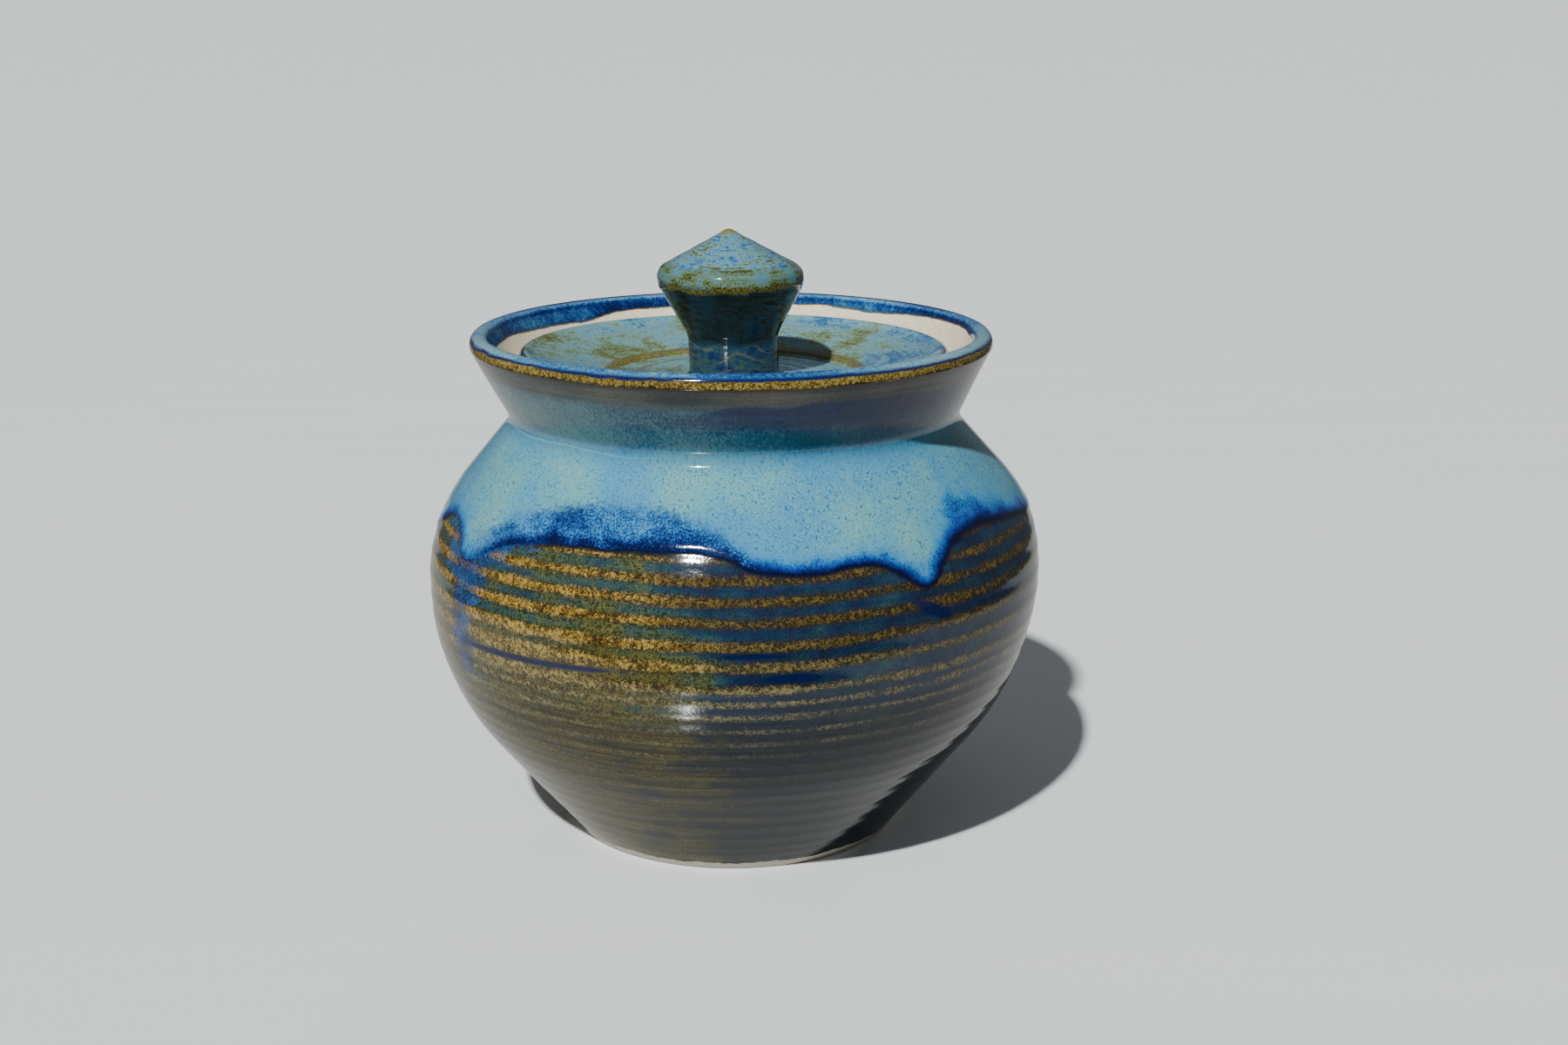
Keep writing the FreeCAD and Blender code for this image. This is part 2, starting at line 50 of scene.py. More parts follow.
lens = bpy.data.cameras.new("lens")
lens.lens = 50
lens.sensor_width = 36
camera = bpy.data.objects.new("camera", lens)
camera.location = (0, -0.6619, 0.2648)
camera.rotation_euler = (math.radians(90 - 14.40), 0, math.radians(-1.33))
bpy.context.scene.collection.objects.link(camera)
bpy.context.scene.camera = camera


# The table and the light.
# A wide pale painted table top. One soft lamp stands high at the front left, a weaker one stands
# low behind the pot, and a pale room fills the shade.

def tint(red, green, blue):
    """A colour as a paint chart gives it, from 0 to 255, for a shader."""
    def linear(part):
        part = part / 255
        return part / 12.92 if part <= 0.04045 else ((part + 0.055) / 1.055) ** 2.4
    return (linear(red), linear(green), linear(blue), 1.0)


class Recipe:
    """Lays out nodes in a tree. Each call adds a node and gives back what it puts out."""

    def __init__(self, tree):
        self.tree = tree

    def feed(self, node, slot, value):
        if isinstance(value, bpy.types.NodeSocket):
            self.tree.links.new(value, node.inputs[slot])
        else:
            node.inputs[slot].default_value = value

    def place(self):
        return self.tree.nodes.new("ShaderNodeTexCoord").outputs["Object"]

    def seen(self):
        """1 to the camera, and 0 in a reflection or in the light that is thrown back."""
        return self.tree.nodes.new("ShaderNodeLightPath").outputs["Is Camera Ray"]

    def across(self, place):
        """The X, Y and Z of a place."""
        node = self.tree.nodes.new("ShaderNodeSeparateXYZ")
        self.feed(node, 0, place)
        return node.outputs

    def reckon(self, operation, *values):
        node = self.tree.nodes.new("ShaderNodeMath")
        node.operation = operation
        for slot, value in enumerate(values):
            self.feed(node, slot, value)
        return node.outputs[0]

    def grain(self, place, size, detail=2.0, squash=(1, 1, 1), warp=0.0):
        """Uneven cloudy noise from 0 to 1, whose patches are about so many metres across."""
        scaled = self.tree.nodes.new("ShaderNodeVectorMath")
        scaled.operation = "MULTIPLY"
        self.feed(scaled, 0, place)
        scaled.inputs[1].default_value = [part / size for part in squash]
        node = self.tree.nodes.new("ShaderNodeTexNoise")
        self.feed(node, "Vector", scaled.outputs[0])
        self.feed(node, "Scale", 1.0)
        self.feed(node, "Detail", detail)
        self.feed(node, "Distortion", warp)
        return node.outputs["Fac"]

    def ease(self, value, low, high, bottom=0.0, top=1.0):
        """Runs smoothly from the bottom to the top while the value goes from low to high."""
        node = self.tree.nodes.new("ShaderNodeMapRange")
        node.interpolation_type = "SMOOTHSTEP"
        for slot, number in enumerate((value, low, high, bottom, top)):
            self.feed(node, slot, number)
        return node.outputs[0]

    def blend(self, share, under, over):
        node = self.tree.nodes.new("ShaderNodeMix")
        node.data_type = "RGBA"
        for slot, value in ((0, share), (6, under), (7, over)):
            self.feed(node, slot, value)
        return node.outputs[2]


class Finish(Recipe):
    """The nodes of a material."""

    def __init__(self, name):
        self.material = bpy.data.materials.new(name)
        self.material.use_nodes = True
        super().__init__(self.material.node_tree)

    def made(self, **inlets):
        """The material, with what feeds the sockets of its shader."""
        for name, value in inlets.items():
            self.feed(self.tree.nodes["Principled BSDF"], name.replace("_", " "), value)
        return self.material


def table_paint():
    """Satin white paint, brushed on. The glaze mirrors it less bright than it is, and only as wide
    as a real table, from the front edge backwards, with dim ground beyond."""
    half_width = 0.42
    front_edge = -0.18
    paint = Finish("table_paint")
    place = paint.place()
    brushed = paint.grain(place, 0.03, 4.0, (0.12, 1, 1))
    bright = paint.blend(brushed, tint(242, 249, 255), tint(248, 252, 255))
    x, y, _ = paint.across(place)
    past_side = paint.reckon("SUBTRACT", paint.reckon("ABSOLUTE", x), half_width)
    past_front = paint.reckon("SUBTRACT", front_edge, y)
    beyond = paint.ease(paint.reckon("MAXIMUM", past_side, past_front), 0.0, 0.014)
    mirrored = paint.blend(beyond, tint(204, 206, 206), tint(64, 64, 62))
    seen = paint.seen()
    return paint.made(Base_Color=paint.blend(seen, mirrored, bright),
                      Roughness=paint.ease(seen, 0.0, 1.0, 0.15, 0.55))


def table_top():
    form = bmesh.new()
    bmesh.ops.create_grid(form, x_segments=8, y_segments=8, size=30)
    mesh = bpy.data.meshes.new("table_top")
    form.to_mesh(mesh)
    form.free()
    mesh.materials.append(table_paint())
    piece = bpy.data.objects.new("table_top", mesh)
    bpy.context.scene.collection.objects.link(piece)


def sun(name, strength, width, bearing, height):
    """A lamp as far off as the sun, so many degrees wide. It stands at a bearing from the front,
    anticlockwise seen from above, and at a height above the horizon, both in degrees."""
    lamp = bpy.data.lights.new(name, "SUN")
    lamp.energy = strength
    lamp.angle = math.radians(width)
    turn, climb = math.radians(bearing), math.radians(height)
    away = Vector((math.sin(turn) * math.cos(climb), -math.cos(turn) * math.cos(climb),
                   math.sin(climb)))
    stand = bpy.data.objects.new(name, lamp)
    stand.rotation_euler = away.to_track_quat("Z", "Y").to_euler()
    bpy.context.scene.collection.objects.link(stand)
    return stand


def pale_room():
    """The walls as the camera sees them, far dimmer in the glaze and in the light they give."""
    world = bpy.data.worlds.new("room")
    world.use_nodes = True
    walls = Recipe(world.node_tree)
    background = walls.tree.nodes["Background"]
    walls.feed(background, "Color", tint(214, 216, 218))
    walls.feed(background, "Strength", walls.ease(walls.seen(), 0.0, 1.0, 0.17, 1.7))
    return world


table_top()
lamp = sun("lamp", strength=4.7, width=2, bearing=-20.97, height=46.01)
lamp.data.color = (1.0, 0.98, 0.95)
fill = sun("fill", strength=1.6, width=5, bearing=162.47, height=1.73)
fill.visible_glossy = False
bpy.context.scene.world = pale_room()


# The pot.
# One lump of stoneware clay drawn up on the wheel: foot, belly, neck and flared collar, with the
# ledge for the lid cut inside the collar. It was dipped in a dark glaze that breaks to gold on the
# finger rings, then in a pale one from the rim down, which ran; the foot and the ledge are bare.

# Its section in millimetres: the distance from the axis or the height of a place, the radius of a
# curve, and for a straight stretch of wall the degrees by which its outside faces up or down.
BELLY, _, RIM_TOP = (size * 1000 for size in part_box("pot_body")[1])
BELLY_HEIGHT = 82.5
BELLY_ARC = 79.0
SHOULDER_FACES_UP = 40.9
NECK_HEIGHT = 131.2
NECK_ARC = 5.0
NECK_ARC_MIDDLE = 74.3
COLLAR_FACES_DOWN = 27.1
COLLAR_TAPER = 2.6
WALL = 5.8
RIM_MIDDLE = 76.9
LEDGE_HEIGHT = 143.5
LEDGE_OUTSIDE = 69.1
LEDGE_EDGE_ARC = 1.2
THROAT = 60.0
FOOT = 51.8
FOOT_FLAT = 50.2
FOOT_EDGE_ARC = 1.4
FOOT_HOLLOW = 44.0
FOOT_HOLLOW_HEIGHT = 2.5
FLOOR_HEIGHT = 10.0
FLOOR_ARC = 12.0
FLOOR_ARC_MIDDLE = 46.4

# Places along that section, as distances in millimetres from the foot's edge up the outside and
# over the rim.
AT_NECK = 151.0
AT_RIM = 176.0
AT_INSIDE = 184.8
AT_LEDGE = 197.2
AT_THROAT = 206.0
AT_FLOOR = 330.0


def on_circle(middle, size, degrees):
    """The point of a circle that lies so many degrees up from level: its radius and height."""
    turn = math.radians(degrees)
    return middle[0] + size * math.cos(turn), middle[1] + size * math.sin(turn)


class ThrownForm:
    """Half of a thrown piece's section, drawn in millimetres in the XZ plane and then turned."""

    def __init__(self, radius, height):
        self.form = bmesh.new()
        self.along = self.form.verts.layers.float.new("along")
        self.tip = self.form.verts.new((radius, 0, height))

    def straight(self, radius, height, pitch=3.0):
        """A straight on to a radius and a height, with a point about every pitch."""
        goal = Vector((radius, 0, height)) - self.tip.co
        steps = max(1, round(goal.length / pitch))
        for _ in range(steps):
            self.tip = bmesh.ops.extrude_vert_indiv(self.form, verts=[self.tip])["verts"][0]
            bmesh.ops.translate(self.form, verts=[self.tip], vec=goal / steps)

    def curve(self, radius, height, degrees, pitch=3.0):
        """An arc round a centre; a positive angle turns anticlockwise, from the radius upwards."""
        centre = Vector((radius, 0, height))
        reach = (self.tip.co - centre).length
        steps = max(3, round(math.radians(abs(degrees)) * reach / pitch))
        made = bmesh.ops.spin(self.form, geom=[self.tip], cent=centre, axis=(0, -1, 0),
                              angle=math.radians(degrees), steps=steps)["geom_last"]
        self.tip = [v for v in made if isinstance(v, bmesh.types.BMVert)][0]

    def turn(self, steps, zero=0):
        """Turns the section round the wheel's axis into a closed form. Every point keeps its
        distance along the section from the point numbered zero."""
        length = 0.0
        section = list(self.form.verts)
        for before, vert in zip(section, section[1:]):
            length += (vert.co - before.co).length
            vert[self.along] = length
        start = section[zero][self.along]
        for vert in section:
            vert[self.along] -= start
        bmesh.ops.spin(self.form, geom=self.form.verts[:] + self.form.edges[:], cent=(0, 0, 0),
                       axis=(0, 0, 1), angle=math.radians(360), steps=steps, use_merge=True)
        bmesh.ops.remove_doubles(self.form, verts=self.form.verts[:], dist=0.001)
        bmesh.ops.recalc_face_normals(self.form, faces=self.form.faces[:])
        self.form.normal_update()

    def mark(self, name):
        return self.form.verts.layers.float.new(name)

    def place(self, name, node, body, slot, finish):
        """Makes the finished piece, in metres, in the CAD node's place."""
        bmesh.ops.scale(self.form, vec=(0.001, 0.001, 0.001), verts=self.form.verts[:])
        for face in self.form.faces:
            face.smooth = True
        mesh = bpy.data.meshes.new(name)
        self.form.to_mesh(mesh)
        self.form.free()
        mesh.set_sharp_from_angle(angle=math.radians(38))
        mesh.materials.append(finish)
        piece = bpy.data.objects.new(name, mesh)
        bpy.context.scene.collection.objects.link(piece)
        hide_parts(node)
        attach(piece, body)


def low_wall_faces_down():
    """The low wall aims from the foot's outer edge at where it touches the belly's curve. Gives
    the degrees by which it faces down."""
    out = FOOT - (BELLY - BELLY_ARC)
    reach = math.hypot(out, BELLY_HEIGHT)
    return math.degrees(math.atan2(BELLY_HEIGHT, out) - math.acos(BELLY_ARC / reach))


def shoulder_arc():
    """The shoulder's curve leaves the widest part upright, and ends where the wall runs straight
    on to the hollow of the neck. Gives its radius."""
    turn = math.radians(SHOULDER_FACES_UP)
    end = on_circle((NECK_ARC_MIDDLE, NECK_HEIGHT), NECK_ARC, 180 + SHOULDER_FACES_UP)
    spare = (end[1] - BELLY_HEIGHT) * math.sin(turn) - (BELLY - end[0]) * math.cos(turn)
    return spare / (1 - math.cos(turn))


def turned_pot():
    """The clay form: out under the foot, up the wall, over the rim and down inside to the floor.
    The outside has its points closer together than the inside."""
    low, high, arc = low_wall_faces_down(), SHOULDER_FACES_UP, shoulder_arc()
    belly = (BELLY - BELLY_ARC, BELLY_HEIGHT)
    shoulder = (BELLY - arc, BELLY_HEIGHT)
    neck = (NECK_ARC_MIDDLE, NECK_HEIGHT)
    rim = (RIM_MIDDLE, RIM_TOP - WALL / 2)
    floor = (FLOOR_ARC_MIDDLE, FLOOR_HEIGHT + FLOOR_ARC)
    inner = on_circle(shoulder, arc - WALL, high)
    throat_end = inner[1] + (inner[0] - THROAT) / math.tan(math.radians(high))

    pot = ThrownForm(0, FOOT_HOLLOW_HEIGHT)
    pot.straight(FOOT_HOLLOW, FOOT_HOLLOW_HEIGHT)
    pot.straight(FOOT_HOLLOW, 0)
    pot.straight(FOOT_FLAT, 0, 1.5)
    pot.curve(FOOT_FLAT - 0.1, FOOT_EDGE_ARC, 90 - low, 0.5)
    foot_edge = len(pot.form.verts) - 1
    pot.straight(*on_circle(belly, BELLY_ARC, -low), 0.75)
    pot.curve(*belly, low, 0.75)
    pot.curve(*shoulder, high, 0.75)
    pot.straight(*on_circle(neck, NECK_ARC, 180 + high), 0.9)
    pot.curve(*neck, -high - COLLAR_FACES_DOWN, 0.6)
    pot.straight(*on_circle(rim, WALL / 2, -COLLAR_FACES_DOWN), 0.9)
    pot.curve(*rim, 180 + COLLAR_TAPER, 0.45)
    pot.straight(LEDGE_OUTSIDE, LEDGE_HEIGHT, 0.9)
    pot.straight(THROAT + LEDGE_EDGE_ARC, LEDGE_HEIGHT, 2.0)
    pot.curve(THROAT + LEDGE_EDGE_ARC, LEDGE_HEIGHT - LEDGE_EDGE_ARC, 90, 0.5)
    pot.straight(THROAT, throat_end)
    pot.straight(*inner)
    pot.curve(*shoulder, -high)
    pot.curve(*belly, -low)
    pot.straight(*on_circle(floor, FLOOR_ARC, -low))
    pot.curve(*floor, low - 90)
    pot.straight(0, FLOOR_HEIGHT)
    pot.turn(256, foot_edge)
    return pot


# What the mesh carries at each point for the glaze to read. Four are in millimetres: how far the
# point lies inside the gold of a ring (gilt), above the pale glaze's edge (flow) and below the
# glaze's edge inside the collar (inner_edge), and how far the rim's colours are set back (over).
# The others say how much there is of the cloud, of blue in the dark glaze (under the collar, of
# dark blue that is partly painted shade on the right), of the cobalt run, of the navy strokes, of
# the slate band and of blue on the rim (deep).
MARKS = ("gilt", "flow", "cloud", "blueness", "cobalt", "navy", "slate", "over", "inner_edge",
         "deep")
FAR = 16.0  # further than the colours of an edge of glaze reach from it
NO_GOLD = -3.0  # so far outside a ring's gold that none shows
DEGREE = 1.58  # millimetres to a degree, round the shoulder

# Lines drawn round the pot, as (bearing, height): the lower edge of the pale glaze and the top of
# the blue cloud above it, in millimetres, and the lower edge of the blue inside the collar, as a
# share of the way down to the ledge. A bearing is in degrees from the front.
PALE_EDGE = (
    (-178, 104), (-165, 97), (-152, 92), (-143, 99), (-130, 105), (-112, 101), (-98, 94),
    (-84, 97), (-77, 102), (-71, 105.5), (-64, 103), (-60, 97), (-55, 98), (-48, 103),
    (-41, 105.7), (-34, 107.4), (-20, 107.8), (-7, 108.3), (-2, 106.8), (3, 104),
    (8, 102.6), (15, 102.5), (21, 103.8), (26, 102.9), (30, 99.8), (33, 96.6), (35, 95.5),
    (37, 96.6), (39.3, 100), (42.5, 104.2), (48, 107.2), (54, 107.6), (62, 106.3), (70, 105),
    (80, 102), (96, 100), (110, 95), (124, 99), (140, 106), (158, 108), (170, 106.5),
)
CLOUD_TOP = (
    (-180, 118), (-150, 112), (-125, 114), (-100, 108), (-80, 112), (-66, 113), (-55, 109),
    (-47, 114), (-38, 117.3), (-26, 120), (-15, 119.5), (-7, 117), (0, 112.5), (9, 107.5),
    (30, 104), (60, 110), (90, 106), (120, 107), (150, 116),
)
INNER_EDGE = (
    (-178, 0.20), (-157, 0.22), (-149, 0.24), (-138, 0.40), (-119, 0.37), (-103, 0.34),
    (-75, 0.42), (-40, 0.46), (0, 0.42), (40, 0.46), (70, 0.24), (95, 0.10), (104, 0.06),
    (117, 0.08), (128, 0.13), (140, 0.22), (148, 0.18), (156, 0.13), (165, 0.15),
)
# The finger rings: the height of each crest, the depth of the groove above it, and half the width
# of the gold on it.
RINGS = (
    (2.6, 0.03, -0.4), (6.0, 0.03, 0.1), (8.9, 0.04, 0.25), (13.2, 0.05, 0.4),
    (18.4, 0.05, 0.25), (23.3, 0.05, 0.45), (28.2, 0.05, 0.3), (32.6, 0.06, 0.3),
    (36.8, 0.06, 0.35), (41.0, 0.07, 0.5), (45.2, 0.07, 0.35), (49.4, 0.08, 0.5),
    (53.5, 0.06, 0.6), (57.9, 0.06, 0.45), (62.5, 0.07, 0.7), (66.8, 0.08, 0.7),
    (71.2, 0.11, 1.2), (77.9, 0.13, 1.3), (84.1, 0.13, 1.35), (90.6, 0.12, 1.35),
    (96.2, 0.09, 1.25), (101.6, 0.06, 1.0), (106.6, 0.06, 0.4), (111.5, 0.0, -1.0),
)
# How far the wet wall has leant to the right of the axis on the wheel, as (height, millimetres).
LEAN = ((0, -0.7), (30, -1.1), (60, -0.7), (82, 0.01), (105, 0.8), (128, 0.1), (150, -0.7),
        (200, -0.8))


def ease(value, low, high):
    """From 0 at low to 1 at high, smoothly; it falls where low is the greater of the two."""
    share = min(1.0, max(0.0, (value - low) / (high - low)))
    return share * share * (3 - 2 * share)


def bump_at(value, middle, reach):
    """A smooth hump that is 1 in the middle and 0 from a reach away."""
    return ease(reach - abs(value - middle), 0, reach)


def round_the_pot(line, bearing):
    """The height at a bearing of a line drawn round the pot, smoothly joined from point to
    point."""
    before = len(line) - 1
    for number, (start, _) in enumerate(line):
        if start <= bearing:
            before = number
    points = [line[(before + step) % len(line)] for step in (-1, 0, 1, 2)]
    width = (points[2][0] - points[1][0]) % 360
    share = ((bearing - points[1][0]) % 360) / width
    a, b, c, d = (height for _, height in points)
    left = (c - a) * width / (width + (points[1][0] - points[0][0]) % 360)
    right = (d - b) * width / (width + (points[3][0] - points[2][0]) % 360)
    curve = 2 * (b - c) + left + right
    lift = 3 * (c - b) - 2 * left - right
    return ((curve * share + lift) * share + left) * share + b


class Spot:
    """A point of the pot's skin: its place, its distance along the section and its bearing, and
    how the clay and the fire vary there, slowly and then more quickly."""

    def __init__(self, vert, along):
        self.x, y, self.z = vert.co
        self.run = vert[along]
        self.bearing = math.degrees(math.atan2(self.x, -y))
        self.side = math.sin(math.radians(self.bearing))
        self.uneven = noise.noise(Vector((self.x, y, self.z * 0.6)) / 38)
        self.ragged = noise.noise(Vector((self.x, y, self.z)) / 14)


def ring_at(spot):
    """The depth of the finger grooves, and how far inside the gold on the nearest crest the spot
    is, in millimetres, less than nothing outside it. The gold is broader at the left."""
    height = spot.z - 0.006 * spot.x + 0.7 * spot.uneven
    golden = ease(-spot.bearing, -5, 25) * ease(spot.bearing, -115, -85)
    golden *= ease(spot.z, 64, 68) * ease(-spot.z, -86, -81)
    widen = 0.78 - 0.14 * spot.side + 0.35 * spot.ragged + 0.6 * golden
    for (low, depth, gold), (high, _, gold_above) in zip(RINGS, RINGS[1:]):
        if low <= height < high:
            share = (height - low) / (high - low)
            inside = max(gold * widen - (height - low), gold_above * widen - (high - height))
            return depth * (0.5 - 0.5 * math.cos(math.tau * share)), inside
    return 0.0, NO_GOLD


def above_edge(spot, edge):
    """How far the spot lies above the pale glaze's edge, square to the edge, in millimetres; less
    than nothing below it. The edge is a list of its height at each degree."""
    # The edge lies well within these heights.
    if not 86 < spot.z < 126:
        return math.copysign(FAR, spot.z - 100)
    degree = math.floor(spot.bearing)
    here = Vector((spot.bearing * DEGREE, spot.z))
    around = round(FAR / DEGREE)
    nearest = FAR
    for start in range(degree - around, degree + around + 1):
        first = Vector((start * DEGREE, edge[start % 360]))
        span = Vector(((start + 1) * DEGREE, edge[(start + 1) % 360])) - first
        share = min(1.0, max(0.0, (here - first).dot(span) / span.length_squared))
        nearest = min(nearest, (first + span * share - here).length)
    part = spot.bearing - degree
    level = edge[degree % 360] * (1 - part) + edge[(degree + 1) % 360] * part
    return nearest if spot.z > level else -nearest


def pale_thickness(above):
    """The pale glaze stands on the dark one, in a soft roll along its edge."""
    return ease(above, -0.5, 1.2) * (0.20 + 0.22 * math.exp(-((above - 2) / 2.2) ** 2))


def edge_width_at(spot):
    """How broad the colours of the pale glaze's edge are: less so about 20 degrees to the right of
    the front, and more so about 52."""
    return 0.85 - 0.2 * bump_at(spot.bearing, 20, 18) + 0.6 * bump_at(spot.bearing, 52, 18)


def cloud_at(spot):
    """The cloud lies in the pale glaze, along its edge, at the left of the front."""
    top = round_the_pot(CLOUD_TOP, spot.bearing)
    return ease(top - spot.z, -3.0, 5.0) * ease(spot.bearing, -66, -46) * ease(-spot.bearing, -9, 4)


def blueness_at(spot):
    """The dark glaze is olive at the left of the front and at the middle of the back, and blue
    between. Under the collar it darkens to blue towards the right, partly as painted shade."""
    # Under the collar: darker towards the right, partly painted shade for the side away from the
    # lamp.
    if spot.z >= 118:
        return 0.5 + 0.35 * spot.side
    ragged = spot.bearing + 22 * spot.ragged + 12 * spot.uneven + 6 * math.sin(spot.z)
    blue = ease(ragged, -32, 12) * (1 - 0.15 * ease(spot.bearing, 40, 70))
    around = abs(spot.bearing)
    blue = max(blue, 0.8 * ease(around, 95, 130)) * ease(-around, -178, -145)
    least = 0.15 + 0.13 * ease(spot.z, 79, 83) + 0.11 * ease(spot.z, 86, 92)
    return least + (0.74 - least) * blue


def cobalt_at(spot):
    """Cobalt ran down the left side, narrower as it ran."""
    wide = 5 + 6 * ease(spot.z, 84, 98) + 5 * ease(spot.z, 97, 104)
    aside = (spot.bearing + 57 + 3 * spot.ragged) / wide
    return math.exp(-(aside ** 2)) * ease(spot.z, 54, 70)


def navy_at(spot):
    """Navy strokes lie in some of the grooves: a long one at the left, two short ones at the
    front, and a steep one at the right."""
    z, bearing = spot.z, spot.bearing
    long = bump_at(z - 0.06 * (bearing + 36), 74.2, 1.5)
    long *= ease(bearing, -60, -50) * ease(-bearing, 14, 28)
    short = 1.3 * bump_at(z, 74.4, 2.3) * bump_at(bearing, 10, 9)
    upper = 0.8 * bump_at(z, 81.2, 2.0) * bump_at(bearing, 2, 16)
    steep = bump_at(z + 0.75 * (bearing - 34), 90.5, 4.0) * bump_at(bearing, 36, 9)
    return long + short + upper + steep


def slate_at(spot):
    """The slate band under the collar has a wavy top, and is faint at the left and behind."""
    crest = AT_RIM - 7 + 1.2 * math.sin(math.radians(4 * spot.bearing)) + 2.0 * spot.ragged
    share = 0.30 + 0.70 * ease(spot.bearing, -30, 8) * ease(-spot.bearing, -175, -120)
    return ease(crest - spot.run, -0.6, 1.2) * ease(spot.run, AT_NECK + 4, AT_NECK + 16) * share


def set_back_at(spot):
    """At the sides and behind, the rim's colours begin further over the rim."""
    return 3.6 * ease(abs(spot.bearing), 85, 125)


def rim_blue_at(spot):
    """On top of the rim, pale but for the front and for a line where the inside begins. Inside,
    deepest behind and palest at the left."""
    if spot.run < AT_INSIDE + 0.2:
        line = 0.5 * bump_at(spot.run, AT_INSIDE - 0.4, 1.2)
        front = 0.36 * bump_at(spot.bearing, 4, 46)
        return 0.03 + front + 0.07 * set_back_at(spot) + 0.3 * spot.uneven + line
    back = max(ease(-spot.bearing, 138, 146), ease(spot.bearing, 164, 178))
    return 0.58 - 0.14 * ease(-spot.side, 0.5, 0.9) + 0.3 * back + 0.4 * spot.uneven


def lean_at(spot):
    """The outside leans from foot to rim. Inside, the lean dies out between rim and throat."""
    left = ease(spot.run, AT_THROAT, AT_INSIDE + 1.2) if spot.run > AT_RIM else 1.0
    (low, start), (high, end) = next(pair for pair in zip(LEAN, LEAN[1:]) if spot.z < pair[1][0])
    return (start + (end - start) * ease(spot.z, low, high)) * left


class Glaze(Finish):
    """The nodes of a fired finish, which also read what the piece's mesh carries."""

    def mark(self, name):
        """A number that the piece's mesh carries at each point."""
        node = self.tree.nodes.new("ShaderNodeAttribute")
        node.attribute_name = name
        return node.outputs["Fac"]

    def vary(self, value, *swings):
        """Adds to the value each grain's swing about its own middle, times an amount."""
        for grain, amount in swings:
            value = self.reckon("MULTIPLY_ADD", self.reckon("SUBTRACT", grain, 0.5), amount, value)
        return value

    def group(self, tree, **inlets):
        node = self.tree.nodes.new("ShaderNodeGroup")
        node.node_tree = tree
        for name, value in inlets.items():
            self.feed(node, name, value)
        return node.outputs

    def shades(self, value, *stops):
        """Colours that run into each other as the value grows. A stop is the value and the red,
        green and blue that belong to it."""
        node = self.tree.nodes.new("ShaderNodeValToRGB")
        ramp = node.color_ramp
        while len(ramp.elements) < len(stops):
            ramp.elements.new(0.5)
        for element, (position, *colour) in zip(ramp.elements, stops):
            element.position = position
            element.color = tint(*colour)
        self.feed(node, "Fac", value)
        return node.outputs["Color"]

    def fired(self, skin, roughness, **inlets):
        """The material, with a surface as uneven as its skin."""
        bump = self.tree.nodes.new("ShaderNodeBump")
        self.feed(bump, "Height", skin)
        self.feed(bump, "Strength", 0.25)
        self.feed(bump, "Distance", 0.0002)
        return self.made(Roughness=roughness, IOR=1.5, Normal=bump.outputs["Normal"], **inlets)


def grain_of_glaze():
    """The uneven grain that both glazes show, shared by the pot, the lid and the knob."""
    group = bpy.data.node_groups.new("grain_of_glaze", "ShaderNodeTree")
    socket = group.interface.new_socket
    socket("Place", in_out="INPUT", socket_type="NodeSocketVector")
    socket("Along", in_out="INPUT", socket_type="NodeSocketFloat")
    inlet = group.nodes.new("NodeGroupInput").outputs
    lay = Recipe(group)

    # Wheel marks are drawn out round the axis: noise in the direction from it, lifted by the
    # distance along the section.
    level = lay.across(inlet["Place"])
    spoke = group.nodes.new("ShaderNodeCombineXYZ")
    for axis in "XY":
        lay.feed(spoke, axis, level[axis])
    unit = group.nodes.new("ShaderNodeVectorMath")
    unit.operation = "NORMALIZE"
    lay.feed(unit, 0, spoke.outputs[0])
    lift = group.nodes.new("ShaderNodeCombineXYZ")
    lay.feed(lift, "Z", lay.reckon("MULTIPLY", inlet["Along"], 0.38))
    wheel = group.nodes.new("ShaderNodeVectorMath")
    lay.feed(wheel, 0, unit.outputs[0])
    lay.feed(wheel, 1, lift.outputs[0])

    fine = lay.grain(inlet["Place"], 0.0005)
    speck = lay.grain(inlet["Place"], 0.0013, 3.0)
    patch = lay.grain(inlet["Place"], 0.008, 4.0, warp=0.5)
    skin = lay.reckon("ADD", lay.reckon("MULTIPLY", fine, 0.22), lay.reckon("MULTIPLY", speck, 0.45))
    puts_out = {
        "Fine": fine, "Speck": speck, "Patch": patch,
        "Wash": lay.grain(inlet["Place"], 0.026, 3.0, (1, 1, 0.45)),
        "Rain": lay.grain(inlet["Place"], 0.0006, 3.0, (1, 1, 0.2)),
        "Turned": lay.grain(wheel.outputs[0], 0.42, 3.0),
        "Skin": lay.reckon("ADD", skin, lay.reckon("MULTIPLY", patch, 2.0)),
    }
    for name in puts_out:
        socket(name, in_out="OUTPUT", socket_type="NodeSocketFloat")
    outlet = group.nodes.new("NodeGroupOutput").inputs
    for name, value in puts_out.items():
        group.links.new(value, outlet[name])
    return group


GRAIN = grain_of_glaze()


def picked(grain, names):
    """Some of what the grain puts out, by name."""
    return [grain[name] for name in names.split()]


def groove_colour(glaze, grain, blueness, stroke):
    """Dark glaze that lies thick in a groove: olive, teal, blue or navy, with specks."""
    colour = glaze.shades(blueness, (0.02, 94, 88, 42), (0.16, 78, 86, 48), (0.29, 62, 86, 60),
                          (0.42, 48, 82, 84), (0.58, 24, 62, 86), (0.76, 14, 42, 80),
                          (1.0, 6, 18, 62))
    specks = glaze.vary(grain["Fine"], (grain["Speck"], 0.7))
    light = glaze.reckon("MULTIPLY", glaze.ease(specks, 0.49, 0.62),
                         glaze.ease(blueness, 0.25, 0.60, 0.6, 0.06))
    colour = glaze.blend(light, colour, tint(122, 110, 58))
    colour = glaze.blend(glaze.ease(specks, 0.36, 0.49, 0.75, 0.0), colour, tint(14, 36, 44))
    return glaze.blend(glaze.ease(stroke, 0.34, 0.52, 0.5, 0.0), colour, tint(26, 32, 22))


